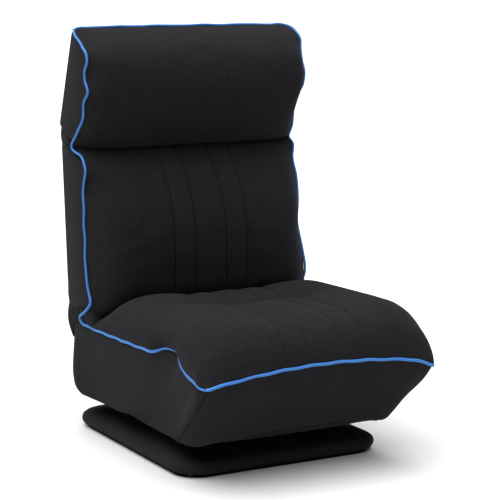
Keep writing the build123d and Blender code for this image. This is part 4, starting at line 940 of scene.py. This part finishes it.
def piping_material():
    """Blue twill cut on the bias: slanting ridges round the cord, slightly paler on their crests."""
    material, tree = new_material("blue_polyester_twill")
    uv = node(tree, "ShaderNodeTexCoord").outputs["UV"]
    slanted = node(tree, "ShaderNodeMapping", {"Vector": uv, "Rotation": (0.0, 0.0, np.radians(38))})
    ridges = node(tree, "ShaderNodeTexWave",
                  {"Vector": slanted.outputs[0], "Scale": WAVE_UNIT / TWILL, "Distortion": 0.4})
    drift = node(tree, "ShaderNodeTexNoise", {"Vector": uv, "Scale": 1 / TWILL_DRIFT, "Detail": 3.0})
    tone = node(tree, "ShaderNodeMath", {0: drift.outputs["Fac"], 1: 0.5, 2: ridges.outputs["Fac"]},
                operation="MULTIPLY_ADD")
    colour = node(tree, "ShaderNodeMix", {0: tone.outputs[0], 6: srgb("#245fa6"), 7: srgb("#3c7dc2")},
                  data_type="RGBA")
    bump = node(tree, "ShaderNodeBump",
                {"Height": ridges.outputs["Fac"], "Strength": 0.4, "Distance": 0.0005})
    shader = node(tree, "ShaderNodeBsdfPrincipled",
                  {"Base Color": colour.outputs[2], "Roughness": 0.62, "Normal": bump.outputs[0],
                   "Sheen Weight": 0.1, "Sheen Roughness": 0.5})
    node(tree, "ShaderNodeOutputMaterial", {"Surface": shader.outputs[0]})
    return material


def piping(name, path, centre, radius):
    """A closed round tube along a path: at each point a ring in the plane of the outward direction from the
    centre and the one square to it and to the path. Slow waves shift the path as sewn piping wanders."""
    run = np.linspace(0, 1, len(path))[:, None] * 2 * np.pi
    ahead = np.gradient(path, axis=0)
    ahead /= np.linalg.norm(ahead, axis=1, keepdims=True)
    out = path - centre
    out -= ahead * np.sum(out * ahead, axis=1, keepdims=True)
    out /= np.linalg.norm(out, axis=1, keepdims=True)
    side = np.cross(ahead, out)
    waves = lengths(path)[-1] / PIPE_WAVELENGTH
    path = path + PIPE_WAVE * (out * np.sin(waves * run) + side * np.sin(1.6 * waves * run + 1))
    turn = np.linspace(0, 2 * np.pi, PIPE_SIDES, endpoint=False)
    ring = out[:, None] * np.cos(turn)[None, :, None] + side[:, None] * np.sin(turn)[None, :, None]
    tube = path[:, None] + radius * ring
    ends = np.repeat(path[[0, -1]][:, None], PIPE_SIDES, axis=1)
    return skin(name, np.vstack([ends[:1], tube, ends[1:]]), around=True)


twill = piping_material()
hook = on_back(np.array(HOOK_X), np.array(HOOK_N), np.array(HOOK_S))
seat_side = smooth_line(np.vstack([hook, HOOK_FOOT, SIDE_SEAM[2:]]), 420)
seat_path = np.vstack([seat_side, lip_line(260)[3:-3], mirrored(seat_side)])
seat_path += kink(seat_path) * (seat_path[:, 1:2] < 0)
seat_path = even_line(seat_path, PIPE_POINTS)
seat_piping = piping("seat_piping_twill", seat_path, SEAT_MIDDLE, SEAT_PIPE_R)
dress(twill, seat_piping)
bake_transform(seat_piping)
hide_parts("seat_piping")


def side_path(back_edge, head_edge):
    """One side of the long piping, as if on the right: up the back, over the neck, up and over the headrest's
    end, and along the top to its middle, which is crowned by a fourth-power curve."""
    up_back = on_back(BACK_HALF + PIPE_PROUD, *np.array([BACK_START] + back_edge[3:-2]).T)
    up_head = on_head(HEAD_HALF + PIPE_PROUD, *np.array(head_edge[1:-1]).T)
    corner = on_head(*np.array(TOP_CORNER).T)
    top_x = np.linspace(0.23, 0.0, 8)
    top = on_head(top_x, TOP_N, TOP_S + TOP_CROWN * (1 - (top_x / 0.28) ** 4))
    return smooth_line(np.vstack([up_back, up_head, corner, top]), 500)


right_path = side_path(BACK_EDGE_RIGHT, HEAD_EDGE_RIGHT)
left_path = side_path(BACK_EDGE_LEFT, HEAD_EDGE_LEFT)
head_path = even_line(np.vstack([right_path, mirrored(left_path)[1:]]), PIPE_POINTS)
head_piping = piping("back_and_headrest_piping_twill", head_path, BACK_MIDDLE, BACK_PIPE_R)
dress(twill, head_piping)
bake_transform(head_piping)
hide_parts("back_piping_left", "back_piping_right", "headrest_piping")

# Floor, light and camera: the chair stands on seamless matt white paper that runs far out to all sides.
# The light is one wide soft source overhead and a dim white surround, and the camera has a long lens and
# stands a little higher than the headrest.
floor_turn = np.linspace(0, 2 * np.pi, 65)[:-1][None, :]
floor_r = np.array([0.0, 1.0, 3.0, 10.0, 30.0, 90.0])[:, None]
disc = np.dstack([floor_r * np.cos(floor_turn), floor_r * np.sin(floor_turn), 0 * floor_r * floor_turn])
floor = skin("floor", disc, around=True)
floor.data.polygons.foreach_set("use_smooth", np.zeros(len(floor.data.polygons), bool))
paper, tree = new_material("white_paper")
shader = node(tree, "ShaderNodeBsdfPrincipled", {"Base Color": srgb("#dcdcdc"), "Roughness": 0.8})
node(tree, "ShaderNodeOutputMaterial", {"Surface": shader.outputs[0]})
dress(paper, floor)

world = bpy.data.worlds.new("soft_studio")
world.use_nodes = True
world.node_tree.nodes["Background"].inputs["Color"].default_value = (1.0, 1.0, 1.0, 1.0)
world.node_tree.nodes["Background"].inputs["Strength"].default_value = 0.17
bpy.context.scene.world = world
bpy.context.scene.view_settings.view_transform = "Standard"
bpy.context.scene.view_settings.look = "Medium High Contrast"
KEY_FROM = Vector((-0.20, -0.07, 0.97))
key = bpy.data.lights.new("key_light", "SUN")
key.energy = 4.7
key.angle = np.radians(82)
key_light = bpy.data.objects.new("key_light", key)
key_light.rotation_euler = KEY_FROM.to_track_quat("Z", "Y").to_euler()
bpy.context.scene.collection.objects.link(key_light)

CAMERA_PLACE = Vector((-1.854, -3.448, 1.060))
CAMERA_AIM = Vector((0.0013, -0.1185, 0.4476))
lens = bpy.data.cameras.new("camera")
lens.lens = 126.9
lens.sensor_width = 36.0
camera = bpy.data.objects.new("camera", lens)
camera.location = CAMERA_PLACE
camera.rotation_euler = (CAMERA_AIM - CAMERA_PLACE).to_track_quat("-Z", "Y").to_euler()
bpy.context.scene.collection.objects.link(camera)
bpy.context.scene.camera = camera
